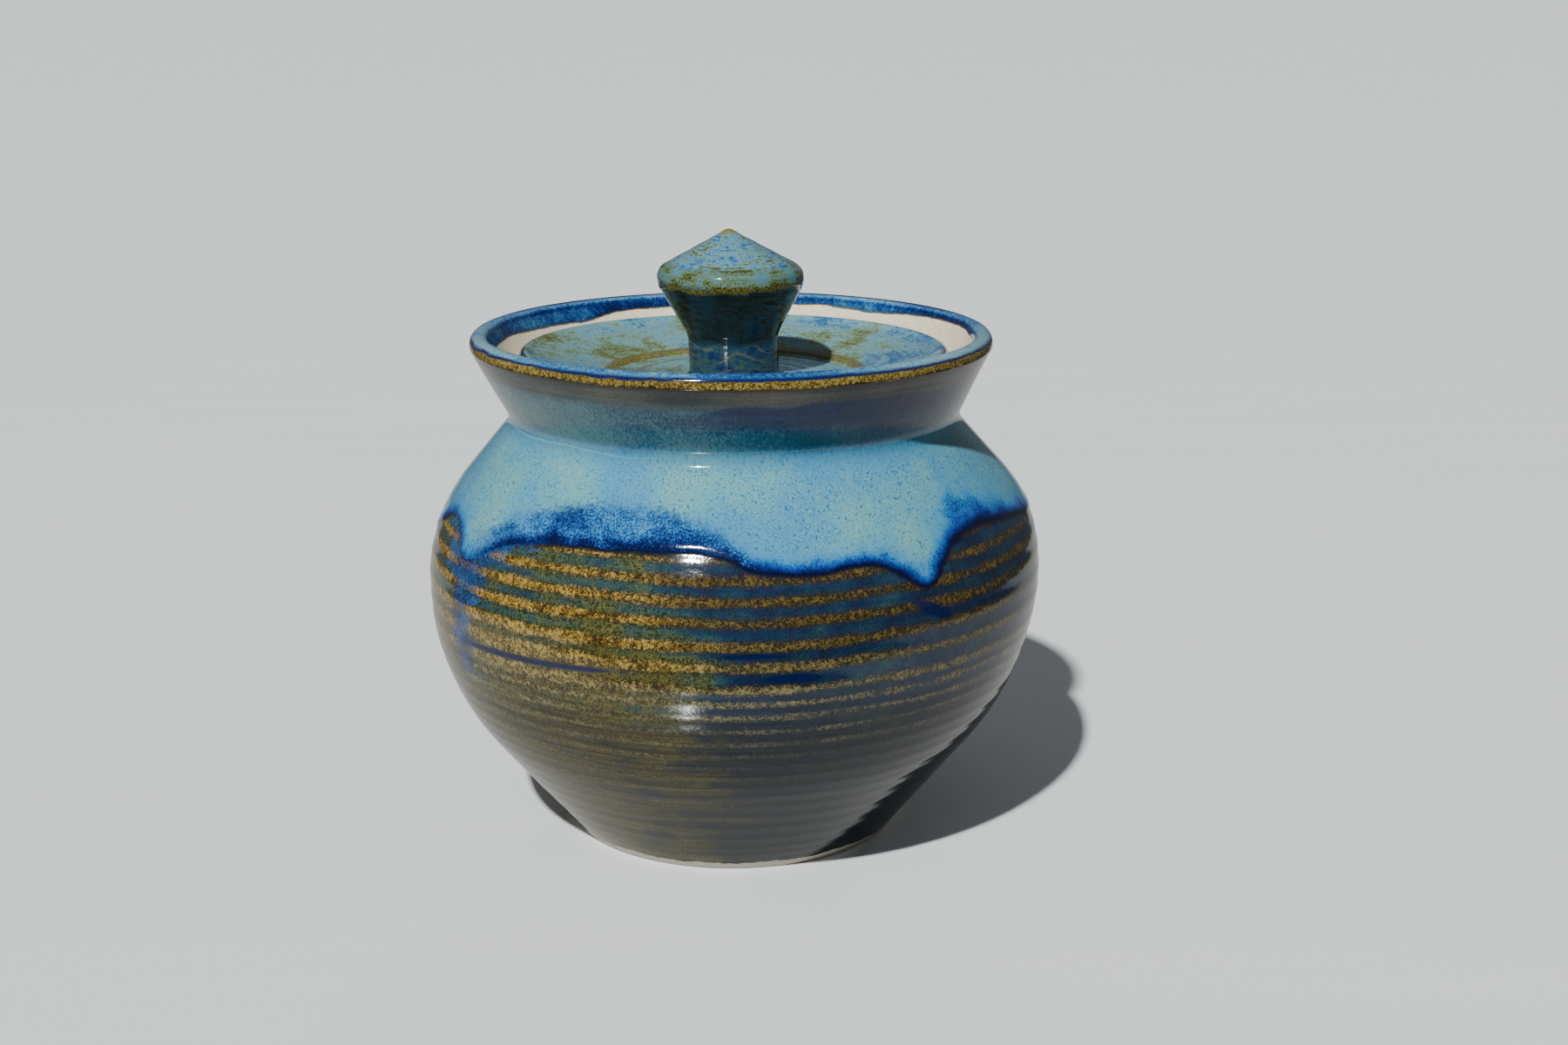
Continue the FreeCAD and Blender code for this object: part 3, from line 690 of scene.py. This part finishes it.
def gold_colour(glaze, grain, along):
    """Dark glaze that breaks on a ridge, from rust to gold: duller where the glaze is blue, and
    paler low on the wall."""
    fine, speck, patch, wash = picked(grain, "Fine Speck Patch Wash")
    rust = glaze.vary(fine, (speck, 0.9), (patch, 0.4), (wash, 0.3))
    gold = glaze.shades(rust, (0.30, 50, 32, 8), (0.42, 106, 80, 26), (0.55, 146, 118, 46),
                        (0.70, 190, 164, 90))
    shy_gold = glaze.shades(rust, (0.30, 30, 20, 8), (0.48, 66, 54, 22), (0.68, 108, 94, 50))
    low_gold = glaze.shades(rust, (0.30, 56, 54, 30), (0.50, 102, 98, 62), (0.70, 146, 138, 98))
    blue = glaze.vary(glaze.mark("blueness"), (patch, 0.6), (speck, 0.4))
    gold = glaze.blend(glaze.ease(blue, 0.36, 0.72), gold, shy_gold)
    low = glaze.ease(glaze.vary(along, (patch, 8.0)), 74, 104, 1.0, 0.0)
    return glaze.blend(low, gold, low_gold)


def thin_colour(glaze, blueness, stroke):
    """Dark glaze near the foot, thin and dull, in strokes that run round the pot."""
    olive = glaze.shades(stroke, (0.30, 36, 34, 12), (0.52, 60, 58, 28), (0.72, 98, 90, 44))
    blue = glaze.shades(stroke, (0.30, 0, 12, 28), (0.52, 4, 24, 40), (0.72, 34, 42, 38))
    return glaze.blend(glaze.ease(blueness, 0.25, 0.70), olive, blue)


def dark_glaze(glaze, grain, along):
    """The dark glaze: thick in the grooves, gold on the ridges, thin towards the foot."""
    fine, speck, patch, wash, turned = picked(grain, "Fine Speck Patch Wash Turned")
    blueness = glaze.vary(glaze.mark("blueness"), (wash, 0.6), (patch, 0.9), (speck, 0.8),
                          (fine, 0.5), (turned, 0.5))
    stroke = glaze.vary(turned, (fine, 0.7), (speck, 0.3))
    low = glaze.ease(glaze.vary(along, (turned, 14.0)), 68, 82, 1.0, 0.0)
    dark = glaze.blend(low, groove_colour(glaze, grain, blueness, stroke),
                       thin_colour(glaze, blueness, stroke))

    # The gold of a ring, ragged at its edges and with a brown border, and faint low down.
    swing = glaze.vary(0.0, (fine, 2.4), (speck, 1.8), (turned, 1.8), (patch, 1.8))
    inside = glaze.reckon("MULTIPLY_ADD", swing, glaze.ease(along, 62, 84, 0.3, 1.0),
                          glaze.mark("gilt"))
    border = glaze.reckon("MULTIPLY", glaze.ease(inside, -1.4, 0.2, 0.0, 0.65),
                          glaze.ease(along, 66, 90))
    dark = glaze.blend(border, dark, tint(50, 36, 12))
    faint = glaze.ease(glaze.mark("blueness"), 0.3, 0.7, 0.45, 0.15)
    gilded = glaze.reckon("MULTIPLY", glaze.ease(inside, -0.7, 1.0),
                          glaze.ease(along, 50, 86, faint, 1.0))
    dark = glaze.blend(gilded, dark, gold_colour(glaze, grain, along))

    # Cobalt that ran down on the left, thinner on the gold, and navy strokes in some grooves.
    cobalt = glaze.vary(glaze.mark("cobalt"), (speck, 0.8), (fine, 0.8), (patch, 1.2))
    cobalt = glaze.reckon("SUBTRACT", cobalt, glaze.ease(inside, -0.6, 0.6, 0.0, 0.25))
    cobalt_blue = glaze.shades(glaze.vary(fine, (patch, 0.9)), (0.30, 6, 20, 66),
                               (0.50, 16, 56, 112), (0.70, 56, 108, 154))
    dark = glaze.blend(glaze.ease(cobalt, 0.32, 0.85, 0.0, 0.9), dark, cobalt_blue)
    navy = glaze.vary(glaze.mark("navy"), (speck, 0.5), (fine, 0.5))
    return glaze.blend(glaze.ease(navy, 0.30, 0.70, 0.0, 0.9), dark,
                       glaze.blend(speck, tint(0, 6, 38), tint(6, 32, 92)))


def pale_glaze(glaze, grain, flow):
    """The pale glaze: navy and cobalt at its edge, sky blue above, then pale green-blue, with a
    dark blue cloud on the left of the front."""
    fine, speck, patch, wash, rain = picked(grain, "Fine Speck Patch Wash Rain")
    pale = glaze.blend(glaze.ease(wash, 0.40, 0.62), tint(98, 168, 184), tint(74, 150, 190))
    pale = glaze.blend(glaze.ease(wash, 0.34, 0.46, 0.45, 0.0), pale, tint(128, 180, 168))
    specks = glaze.vary(fine, (speck, 0.5))
    pale = glaze.blend(glaze.ease(specks, 0.50, 0.64, 0.0, 0.5), pale, tint(50, 134, 186))
    pale = glaze.blend(glaze.ease(fine, 0.36, 0.44, 0.4, 0.0), pale, tint(156, 196, 174))
    pale = glaze.blend(glaze.ease(rain, 0.58, 0.66, 0.0, 0.8), pale, tint(22, 84, 144))

    # Above the edge the colours are spread out further where cobalt ran.
    spread = glaze.reckon("MULTIPLY_ADD", glaze.mark("cobalt"), 2.8, flow)
    spread = glaze.reckon("MULTIPLY", spread,
                          glaze.vary(1.0, (fine, 1.4), (rain, 1.2), (patch, 1.4), (wash, 1.0)))
    edge = glaze.shades(glaze.reckon("DIVIDE", spread, 8.0), (0.05, 4, 8, 44), (0.15, 8, 24, 92),
                        (0.28, 16, 66, 150), (0.46, 36, 116, 184), (0.70, 66, 148, 196))
    pale = glaze.blend(glaze.ease(spread, 3.0, 9.0), edge, pale)

    cloud = glaze.vary(glaze.mark("cloud"), (speck, 0.9), (rain, 0.9), (fine, 0.6), (patch, 0.5))
    cloud = glaze.reckon("MULTIPLY", glaze.ease(cloud, 0.25, 0.90), glaze.ease(flow, 0.2, 0.9))
    tone = glaze.vary(fine, (patch, 0.7), (rain, 0.4), (wash, 0.4))
    tone = glaze.reckon("SUBTRACT", tone, glaze.ease(flow, 1.0, 4.5, 0.26, 0.0))
    cloud_blue = glaze.shades(tone, (0.20, 6, 14, 62), (0.34, 14, 42, 108), (0.50, 36, 94, 158),
                              (0.68, 78, 150, 198))
    return glaze.blend(cloud, pale, cloud_blue)


def glazed_wall(glaze, grain, along):
    """The dark glaze, and the pale one over it with a navy outline."""
    flow = glaze.vary(glaze.mark("flow"), (grain["Speck"], 0.9), (grain["Patch"], 1.4))
    outline = glaze.reckon("MULTIPLY", glaze.ease(flow, -1.2, -0.2, 0.0, 0.85),
                           glaze.ease(glaze.mark("cobalt"), 0.1, 0.6, 1.0, 0.1))
    colour = glaze.blend(outline, dark_glaze(glaze, grain, along), tint(6, 10, 44))
    return glaze.blend(glaze.ease(flow, -0.2, 0.5), colour, pale_glaze(glaze, grain, flow))


def collar_colour(glaze, grain, along):
    """Under the collar both glazes are thin: blue-green below, a slate band, grey olive above."""
    fine, speck, patch, wash = picked(grain, "Fine Speck Patch Wash")
    rain, turned = picked(grain, "Rain Turned")
    blueness = glaze.vary(glaze.mark("blueness"), (wash, 0.6), (fine, 0.4), (rain, 0.9),
                          (patch, 0.4))
    # Pale to dark blue as blueness rises, which under the collar is partly painted shade on the
    # right.
    colour = glaze.shades(blueness, (0.0, 108, 144, 142), (0.30, 72, 114, 128),
                          (0.55, 34, 80, 104), (0.95, 10, 40, 72))
    olive = glaze.shades(glaze.vary(wash, (fine, 0.6), (turned, 0.7)), (0.30, 40, 44, 42),
                         (0.70, 98, 98, 86))
    height = glaze.vary(along, (patch, 2.5), (fine, 1.2))
    colour = glaze.blend(glaze.ease(height, AT_NECK + 14.5, AT_NECK + 20.5, 0.0, 0.9), colour,
                         olive)
    band = glaze.vary(glaze.mark("slate"), (fine, 0.4), (speck, 0.4), (rain, 0.6), (turned, 1.0))
    slate = glaze.shades(glaze.vary(fine, (rain, 0.8)), (0.30, 0, 10, 42), (0.70, 0, 52, 104))
    return glaze.blend(glaze.ease(band, 0.2, 1.0), colour, slate)


def lay_collar(glaze, grain, along, under):
    """A pale line in the crease of the neck, and the collar above it."""
    fine, speck, wash = picked(grain, "Fine Speck Wash")
    crease = glaze.vary(along, (wash, 3.0), (speck, 1.2), (fine, 1.2))
    aside = glaze.reckon("SUBTRACT", glaze.vary(along, (wash, 4.0)), AT_NECK)
    line = glaze.reckon("MULTIPLY", glaze.ease(glaze.reckon("ABSOLUTE", aside), 0.1, 0.5, 0.7, 0.0),
                        glaze.ease(glaze.mark("blueness"), 0.2, 0.45, 1.0, 0.0))
    colour = glaze.blend(glaze.ease(crease, AT_NECK - 7, AT_NECK, 0.0, 0.55), under,
                         tint(62, 130, 168))
    colour = glaze.blend(glaze.ease(crease, AT_NECK + 0.6, AT_NECK + 5), colour,
                         collar_colour(glaze, grain, along))
    return glaze.blend(line, colour, tint(120, 182, 194))


def lay_rim(glaze, grain, along, under):
    """The rim: brown and then gold where the glaze has run off its edge, and over the top navy
    and then cobalt, from pale to deep, which also runs down inside."""
    fine, speck, patch, wash, turned = picked(grain, "Fine Speck Patch Wash Turned")
    rim = glaze.reckon("SUBTRACT", along, glaze.mark("over"))
    rim = glaze.vary(rim, (patch, 1.4), (wash, 0.8), (speck, 0.8), (fine, 1.2), (turned, 1.2))
    gold = glaze.shades(glaze.vary(fine, (speck, 0.6)), (0.36, 70, 54, 14), (0.50, 118, 104, 44),
                        (0.66, 164, 146, 80))
    deep = glaze.vary(glaze.mark("deep"), (fine, 0.9), (speck, 0.8), (patch, 0.6))
    cobalt = glaze.shades(deep, (0.0, 124, 168, 184), (0.28, 70, 130, 170), (0.55, 24, 74, 142),
                          (0.85, 8, 22, 84))
    colour = glaze.blend(glaze.ease(rim, AT_RIM - 2.2, AT_RIM - 0.6, 0.0, 0.85), under,
                         tint(44, 34, 18))
    colour = glaze.blend(glaze.ease(rim, AT_RIM - 0.5, AT_RIM + 0.2), colour, gold)
    colour = glaze.blend(glaze.ease(rim, AT_RIM + 1.5, AT_RIM + 2.0), colour, tint(14, 26, 84))
    return glaze.blend(glaze.ease(rim, AT_RIM + 2.1, AT_RIM + 3.3), colour, cobalt)


def lay_inside(glaze, grain, along, under):
    """Inside, the glaze stops in a brown line above the ledge, and starts again in the throat.
    Gives back the colour, and how bare the clay is."""
    fine, speck, patch, turned = picked(grain, "Fine Speck Patch Turned")
    inner = glaze.vary(glaze.mark("inner_edge"), (patch, 1.2), (fine, 0.5))
    past_edge = glaze.ease(inner, -0.1, 0.2)
    clay = glaze.shades(glaze.vary(speck, (turned, 0.5)), (0.25, 228, 216, 186),
                        (0.70, 248, 242, 222))
    lining = glaze.shades(glaze.vary(patch, (fine, 0.6)), (0.30, 24, 52, 84), (0.70, 82, 124, 128))
    throat = glaze.ease(glaze.vary(along, (patch, 1.0)), AT_THROAT, AT_THROAT + 0.8)
    colour = glaze.blend(glaze.ease(inner, -2.4, -0.4, 0.0, 0.45), under, tint(20, 36, 50))
    colour = glaze.blend(glaze.ease(inner, -0.5, -0.2), colour, tint(120, 100, 58))
    colour = glaze.blend(past_edge, colour, clay)
    return glaze.blend(throat, colour, lining), glaze.reckon("SUBTRACT", past_edge, throat)


def lay_foot(glaze, grain, along, under):
    """The foot is wiped, with bare clay below a ragged edge of glaze. Gives back the colour, and
    how bare the clay is."""
    speck, patch, turned = picked(grain, "Speck Patch Turned")
    foot = glaze.ease(glaze.vary(along, (patch, 4.0), (speck, 1.2)), 2.4, 3.0, 1.0, 0.0)
    clay = glaze.blend(turned, tint(184, 180, 164), tint(216, 212, 198))
    return glaze.blend(foot, under, clay), foot


def pot_glaze():
    glaze = Glaze("pot_glaze")
    along = glaze.mark("along")
    grain = glaze.group(GRAIN, Place=glaze.place(), Along=along)
    colour = glazed_wall(glaze, grain, along)
    colour = lay_collar(glaze, grain, along, colour)
    colour = lay_rim(glaze, grain, along, colour)
    colour, bare_ledge = lay_inside(glaze, grain, along, colour)
    colour, bare_foot = lay_foot(glaze, grain, along, colour)
    bare = glaze.reckon("MAXIMUM", bare_foot, bare_ledge)
    return glaze.fired(grain["Skin"], glaze.ease(bare, 0.0, 1.0, 0.08, 0.75), Base_Color=colour)


def make_pot():
    pot = turned_pot()
    marks = {name: pot.mark(name) for name in MARKS}
    edge = [round_the_pot(PALE_EDGE, (degree + 180) % 360 - 180) for degree in range(360)]
    for vert in pot.form.verts:
        spot = Spot(vert, pot.along)
        carried = {"gilt": NO_GOLD, "flow": FAR, "inner_edge": -FAR, "over": set_back_at(spot)}
        if 0 < spot.run < AT_RIM:
            groove, gilt = ring_at(spot)
            above = above_edge(spot, edge)
            vert.co += vert.normal * (pale_thickness(above) - groove)
            carried.update(gilt=gilt, flow=above / edge_width_at(spot), cloud=cloud_at(spot),
                           blueness=blueness_at(spot), cobalt=cobalt_at(spot), navy=navy_at(spot),
                           slate=slate_at(spot))
        elif spot.run >= AT_RIM:
            glazed = (AT_LEDGE - AT_INSIDE) * round_the_pot(INNER_EDGE, spot.bearing)
            carried.update(inner_edge=spot.run - AT_INSIDE - glazed, deep=rim_blue_at(spot))
        if AT_THROAT + 8 < spot.run < AT_FLOOR:
            wheel_line = 0.25 * math.sin(spot.run * 0.9 + math.radians(spot.bearing))
            vert.co += vert.normal * wheel_line
        vert.co.x += lean_at(spot)
        for name, value in carried.items():
            vert[marks[name]] = value
    pot.place("glazed_pot", "pot_body", "pot", "pot_glaze", pot_glaze())


make_pot()


# The lid.
# A shallow dish of the same clay, thrown upside down, turned flat on its edge and stepped
# underneath to sit in the throat. Its top was glazed with both glazes, and its underside is bare.

LID_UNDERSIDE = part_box("lid")[0][2] * 1000
LID_STEP = THROAT - 1.0
LID_EDGE = 65.8
LID_EDGE_ARC = 2.0
LID_TOP = 151.0
LID_BEVEL = 0.6
LID_ASIDE = 0.1  # how far the lid lies to the right of the pot's middle
DISH_HEIGHT, KNOB_TOP = (corner[2] * 1000 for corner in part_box("lid_knob"))


def lid_glaze():
    glaze = Glaze("lid_glaze")
    grain = glaze.group(GRAIN, Place=glaze.place(), Along=glaze.mark("along"))
    fine, speck, patch, wash, turned = picked(grain, "Fine Speck Patch Wash Turned")
    right = glaze.across(glaze.place())["X"]
    hue = glaze.reckon("MULTIPLY_ADD", right, 1.4, patch)
    hue = glaze.vary(hue, (wash, 1.6), (speck, 0.8), (fine, 0.8), (turned, 0.6))
    colour = glaze.shades(hue, (0.06, 92, 92, 36), (0.28, 102, 122, 84), (0.44, 116, 156, 150),
                          (0.62, 106, 160, 180), (0.88, 48, 98, 146))
    ring = glaze.vary(glaze.mark("ring"), (patch, 1.6), (fine, 0.8), (speck, 0.8))
    olive = glaze.shades(fine, (0.36, 48, 50, 14), (0.62, 134, 124, 54))
    colour = glaze.blend(glaze.ease(ring, 0.45, 0.80, 0.0, 0.9), colour, olive)
    edge = glaze.ease(glaze.vary(glaze.mark("edge"), (fine, 0.4)), 0.3, 0.7)
    colour = glaze.blend(edge, colour, tint(30, 52, 64))
    bare = glaze.ease(glaze.mark("bare"), 0.4, 0.6)
    clay = glaze.shades(glaze.vary(speck, (turned, 0.8)), (0.25, 206, 192, 158),
                        (0.70, 232, 222, 198))
    return glaze.fired(grain["Skin"], glaze.ease(bare, 0.0, 1.0, 0.10, 0.75),
                       Base_Color=glaze.blend(bare, colour, clay))


def turned_lid():
    """The clay form, from the middle of the underside out over the edge to the dish."""
    lid = ThrownForm(0, LID_UNDERSIDE)
    lid.straight(37.0, LID_UNDERSIDE)
    lid.straight(LID_STEP - 0.5, 140.1)
    lid.straight(LID_STEP, 140.6, 0.5)
    lid.straight(LID_STEP, LEDGE_HEIGHT)
    lid.straight(LID_EDGE - LID_BEVEL, LEDGE_HEIGHT)
    lid.straight(LID_EDGE, LEDGE_HEIGHT + LID_BEVEL, 0.5)
    lid.straight(LID_EDGE, LID_TOP - LID_EDGE_ARC, 1.0)
    lid.curve(LID_EDGE - LID_EDGE_ARC, LID_TOP - LID_EDGE_ARC, 90, 0.5)
    lid.straight(63.4, LID_TOP, 0.5)
    lid.straight(61.2, LID_TOP - 1.5, 0.6)
    lid.straight(37.9, DISH_HEIGHT + 0.9, 0.8)
    lid.straight(36.6, DISH_HEIGHT, 0.4)
    lid.straight(0, DISH_HEIGHT, 1.2)
    lid.turn(224)
    return lid


def make_lid():
    """The glaze breaks to olive on two rings of the dish, and is dark round the lid's edge."""
    lid = turned_lid()
    ring, edge, bare = (lid.mark(name) for name in ("ring", "edge", "bare"))
    for vert in lid.form.verts:
        x, y, z = vert.co
        radius = math.hypot(x, y)
        uneven = noise.noise(Vector((x, y, 5)) / 20)
        glazed = vert.normal.z > 0.2 or (radius > 62.8 and z > 147)
        vert[bare] = 0.0 if glazed else 1.0
        if glazed:
            outer = 1 - ease(abs(radius - 38.6 - 0.8 * uneven), 0.6, 3.2)
            inner = 1 - ease(abs(radius - 30 - 2 * uneven), 0.4, 2.6)
            vert[ring] = max(outer, 0.8 * inner)
            vert[edge] = 1 - ease(abs(radius - LID_EDGE + LID_BEVEL), 0.4, 1.4)
        if glazed and 16 < radius < 61:
            vert.co.z += 0.05 * math.sin(radius * 1.35 + math.atan2(y, x) + uneven)
        vert.co.x += LID_ASIDE
    lid.place("glazed_lid", "lid", "lid", "lid_glaze", lid_glaze())


make_lid()


# The knob.
# Thrown by itself and stuck on the middle of the lid with slip: a stem that opens out into a cap
# with a rounded edge and a low pointed top. The cap leans a little.

STEM = 13.9
STEM_TOP = 152.6
SLIP = 1.2
FLARE_ARC = 9.0
CAP = 22.5
CAP_HEIGHT = 172.4
CAP_UNDER_ARC = 8.0
CAP_UNDER_FACES_DOWN = 29.23
CAP_OVER_ARC = 4.5
CAP_OVER_FACES_UP = 61.35
TIP_ARC = 2.6
KNOB_SKIM = 0.1  # drawn so far inside its solid, to leave room for the wheel lines


def knob_glaze():
    glaze = Glaze("knob_glaze")
    along = glaze.mark("along")
    grain = glaze.group(GRAIN, Place=glaze.place(), Along=along)
    fine, speck, patch, turned = picked(grain, "Fine Speck Patch Turned")
    hue = glaze.vary(patch, (turned, 1.7), (speck, 1.3), (fine, 0.9))
    stem = glaze.shades(hue, (0.0, 62, 80, 54), (0.36, 42, 70, 80), (0.60, 28, 56, 92),
                        (0.90, 12, 24, 68))
    cap = glaze.shades(hue, (0.06, 86, 88, 38), (0.30, 96, 128, 108), (0.46, 110, 160, 172),
                       (0.62, 80, 138, 176), (0.90, 34, 78, 138))
    band = glaze.shades(glaze.vary(fine, (turned, 0.8), (patch, 1.0)), (0.26, 40, 44, 12),
                        (0.44, 84, 96, 46), (0.58, 98, 130, 108), (0.74, 70, 128, 160))

    # Thin gold trails sweep round the stem.
    sweep = glaze.reckon("PINGPONG", glaze.mark("trail"), 1.5)
    trail = glaze.reckon("MULTIPLY", glaze.ease(glaze.vary(sweep, (fine, 0.5)), 0.0, 0.40, 0.45, 0.0),
                         glaze.ease(patch, 0.42, 0.54))
    stem = glaze.blend(trail, stem, tint(108, 114, 50))

    # Up the knob: the stem, a near-black stretch where it opens out under the cap, the dark glaze
    # painted darker there as shade, a gold edge under the cap, the olive band round the cap, its
    # mottled top, and the gold tip.
    rise = glaze.vary(along, (patch, 3.0), (fine, 1.2))
    # Painted shade under the cap: the dark glaze there is made near black.
    dark = glaze.blend(glaze.ease(glaze.vary(patch, (speck, 0.8)), 0.3, 0.7), tint(8, 14, 18),
                       tint(14, 40, 58))
    gold = glaze.blend(glaze.ease(fine, 0.35, 0.65), tint(42, 42, 8), tint(112, 106, 40))
    colour = glaze.blend(glaze.ease(rise, 25.5, 28.0), stem, dark)
    colour = glaze.blend(glaze.ease(rise, 44.8, 46.0), colour, gold)
    colour = glaze.blend(glaze.ease(rise, 46.6, 48.0), colour, band)
    colour = glaze.blend(glaze.ease(rise, 51.5, 55.0), colour, cap)
    colour = glaze.blend(glaze.ease(rise, 71.0, 73.6), colour, tint(122, 118, 50))
    return glaze.fired(grain["Skin"], 0.09, Base_Color=colour)


def turned_knob():
    """The clay form, from the middle of its foot out and up to the tip."""
    under = (CAP - CAP_UNDER_ARC, CAP_HEIGHT)
    over = (CAP - CAP_OVER_ARC, CAP_HEIGHT)
    tip = (0, KNOB_TOP - KNOB_SKIM / 2 - TIP_ARC)
    knob = ThrownForm(0, DISH_HEIGHT)
    knob.straight(STEM + SLIP, DISH_HEIGHT)
    knob.straight(STEM, DISH_HEIGHT + SLIP, 0.5)
    knob.straight(STEM, STEM_TOP, 0.8)
    knob.curve(STEM + FLARE_ARC, STEM_TOP, -CAP_UNDER_FACES_DOWN, 0.6)
    knob.straight(*on_circle(under, CAP_UNDER_ARC, -CAP_UNDER_FACES_DOWN), 0.6)
    knob.curve(*under, CAP_UNDER_FACES_DOWN, 0.5)
    knob.curve(*over, CAP_OVER_FACES_UP, 0.4)
    knob.straight(*on_circle(tip, TIP_ARC, CAP_OVER_FACES_UP), 0.6)
    knob.curve(*tip, 90 - CAP_OVER_FACES_UP, 0.3)
    knob.turn(128)
    return knob


def make_knob():
    """The knob carries the height for its trails, and leans to the left as it rises."""
    knob = turned_knob()
    trail = knob.mark("trail")
    for vert in knob.form.verts:
        x, y, z = vert.co
        vert[trail] = z + 7 * noise.noise(Vector((x, y, z)) / 15)
        if z < KNOB_TOP - 1:
            wheel_line = 0.05 * math.sin(z * 2.1 + math.atan2(y, x)) * ease(z, 144, 148)
            vert.co += vert.normal * (wheel_line - KNOB_SKIM)
        rise = max(0.0, z - DISH_HEIGHT) / (KNOB_TOP - DISH_HEIGHT)
        vert.co.x += 0.2 - 1.6 * rise ** 0.8
    knob.place("glazed_knob", "lid_knob", "lid", "knob_glaze", knob_glaze())


make_knob()
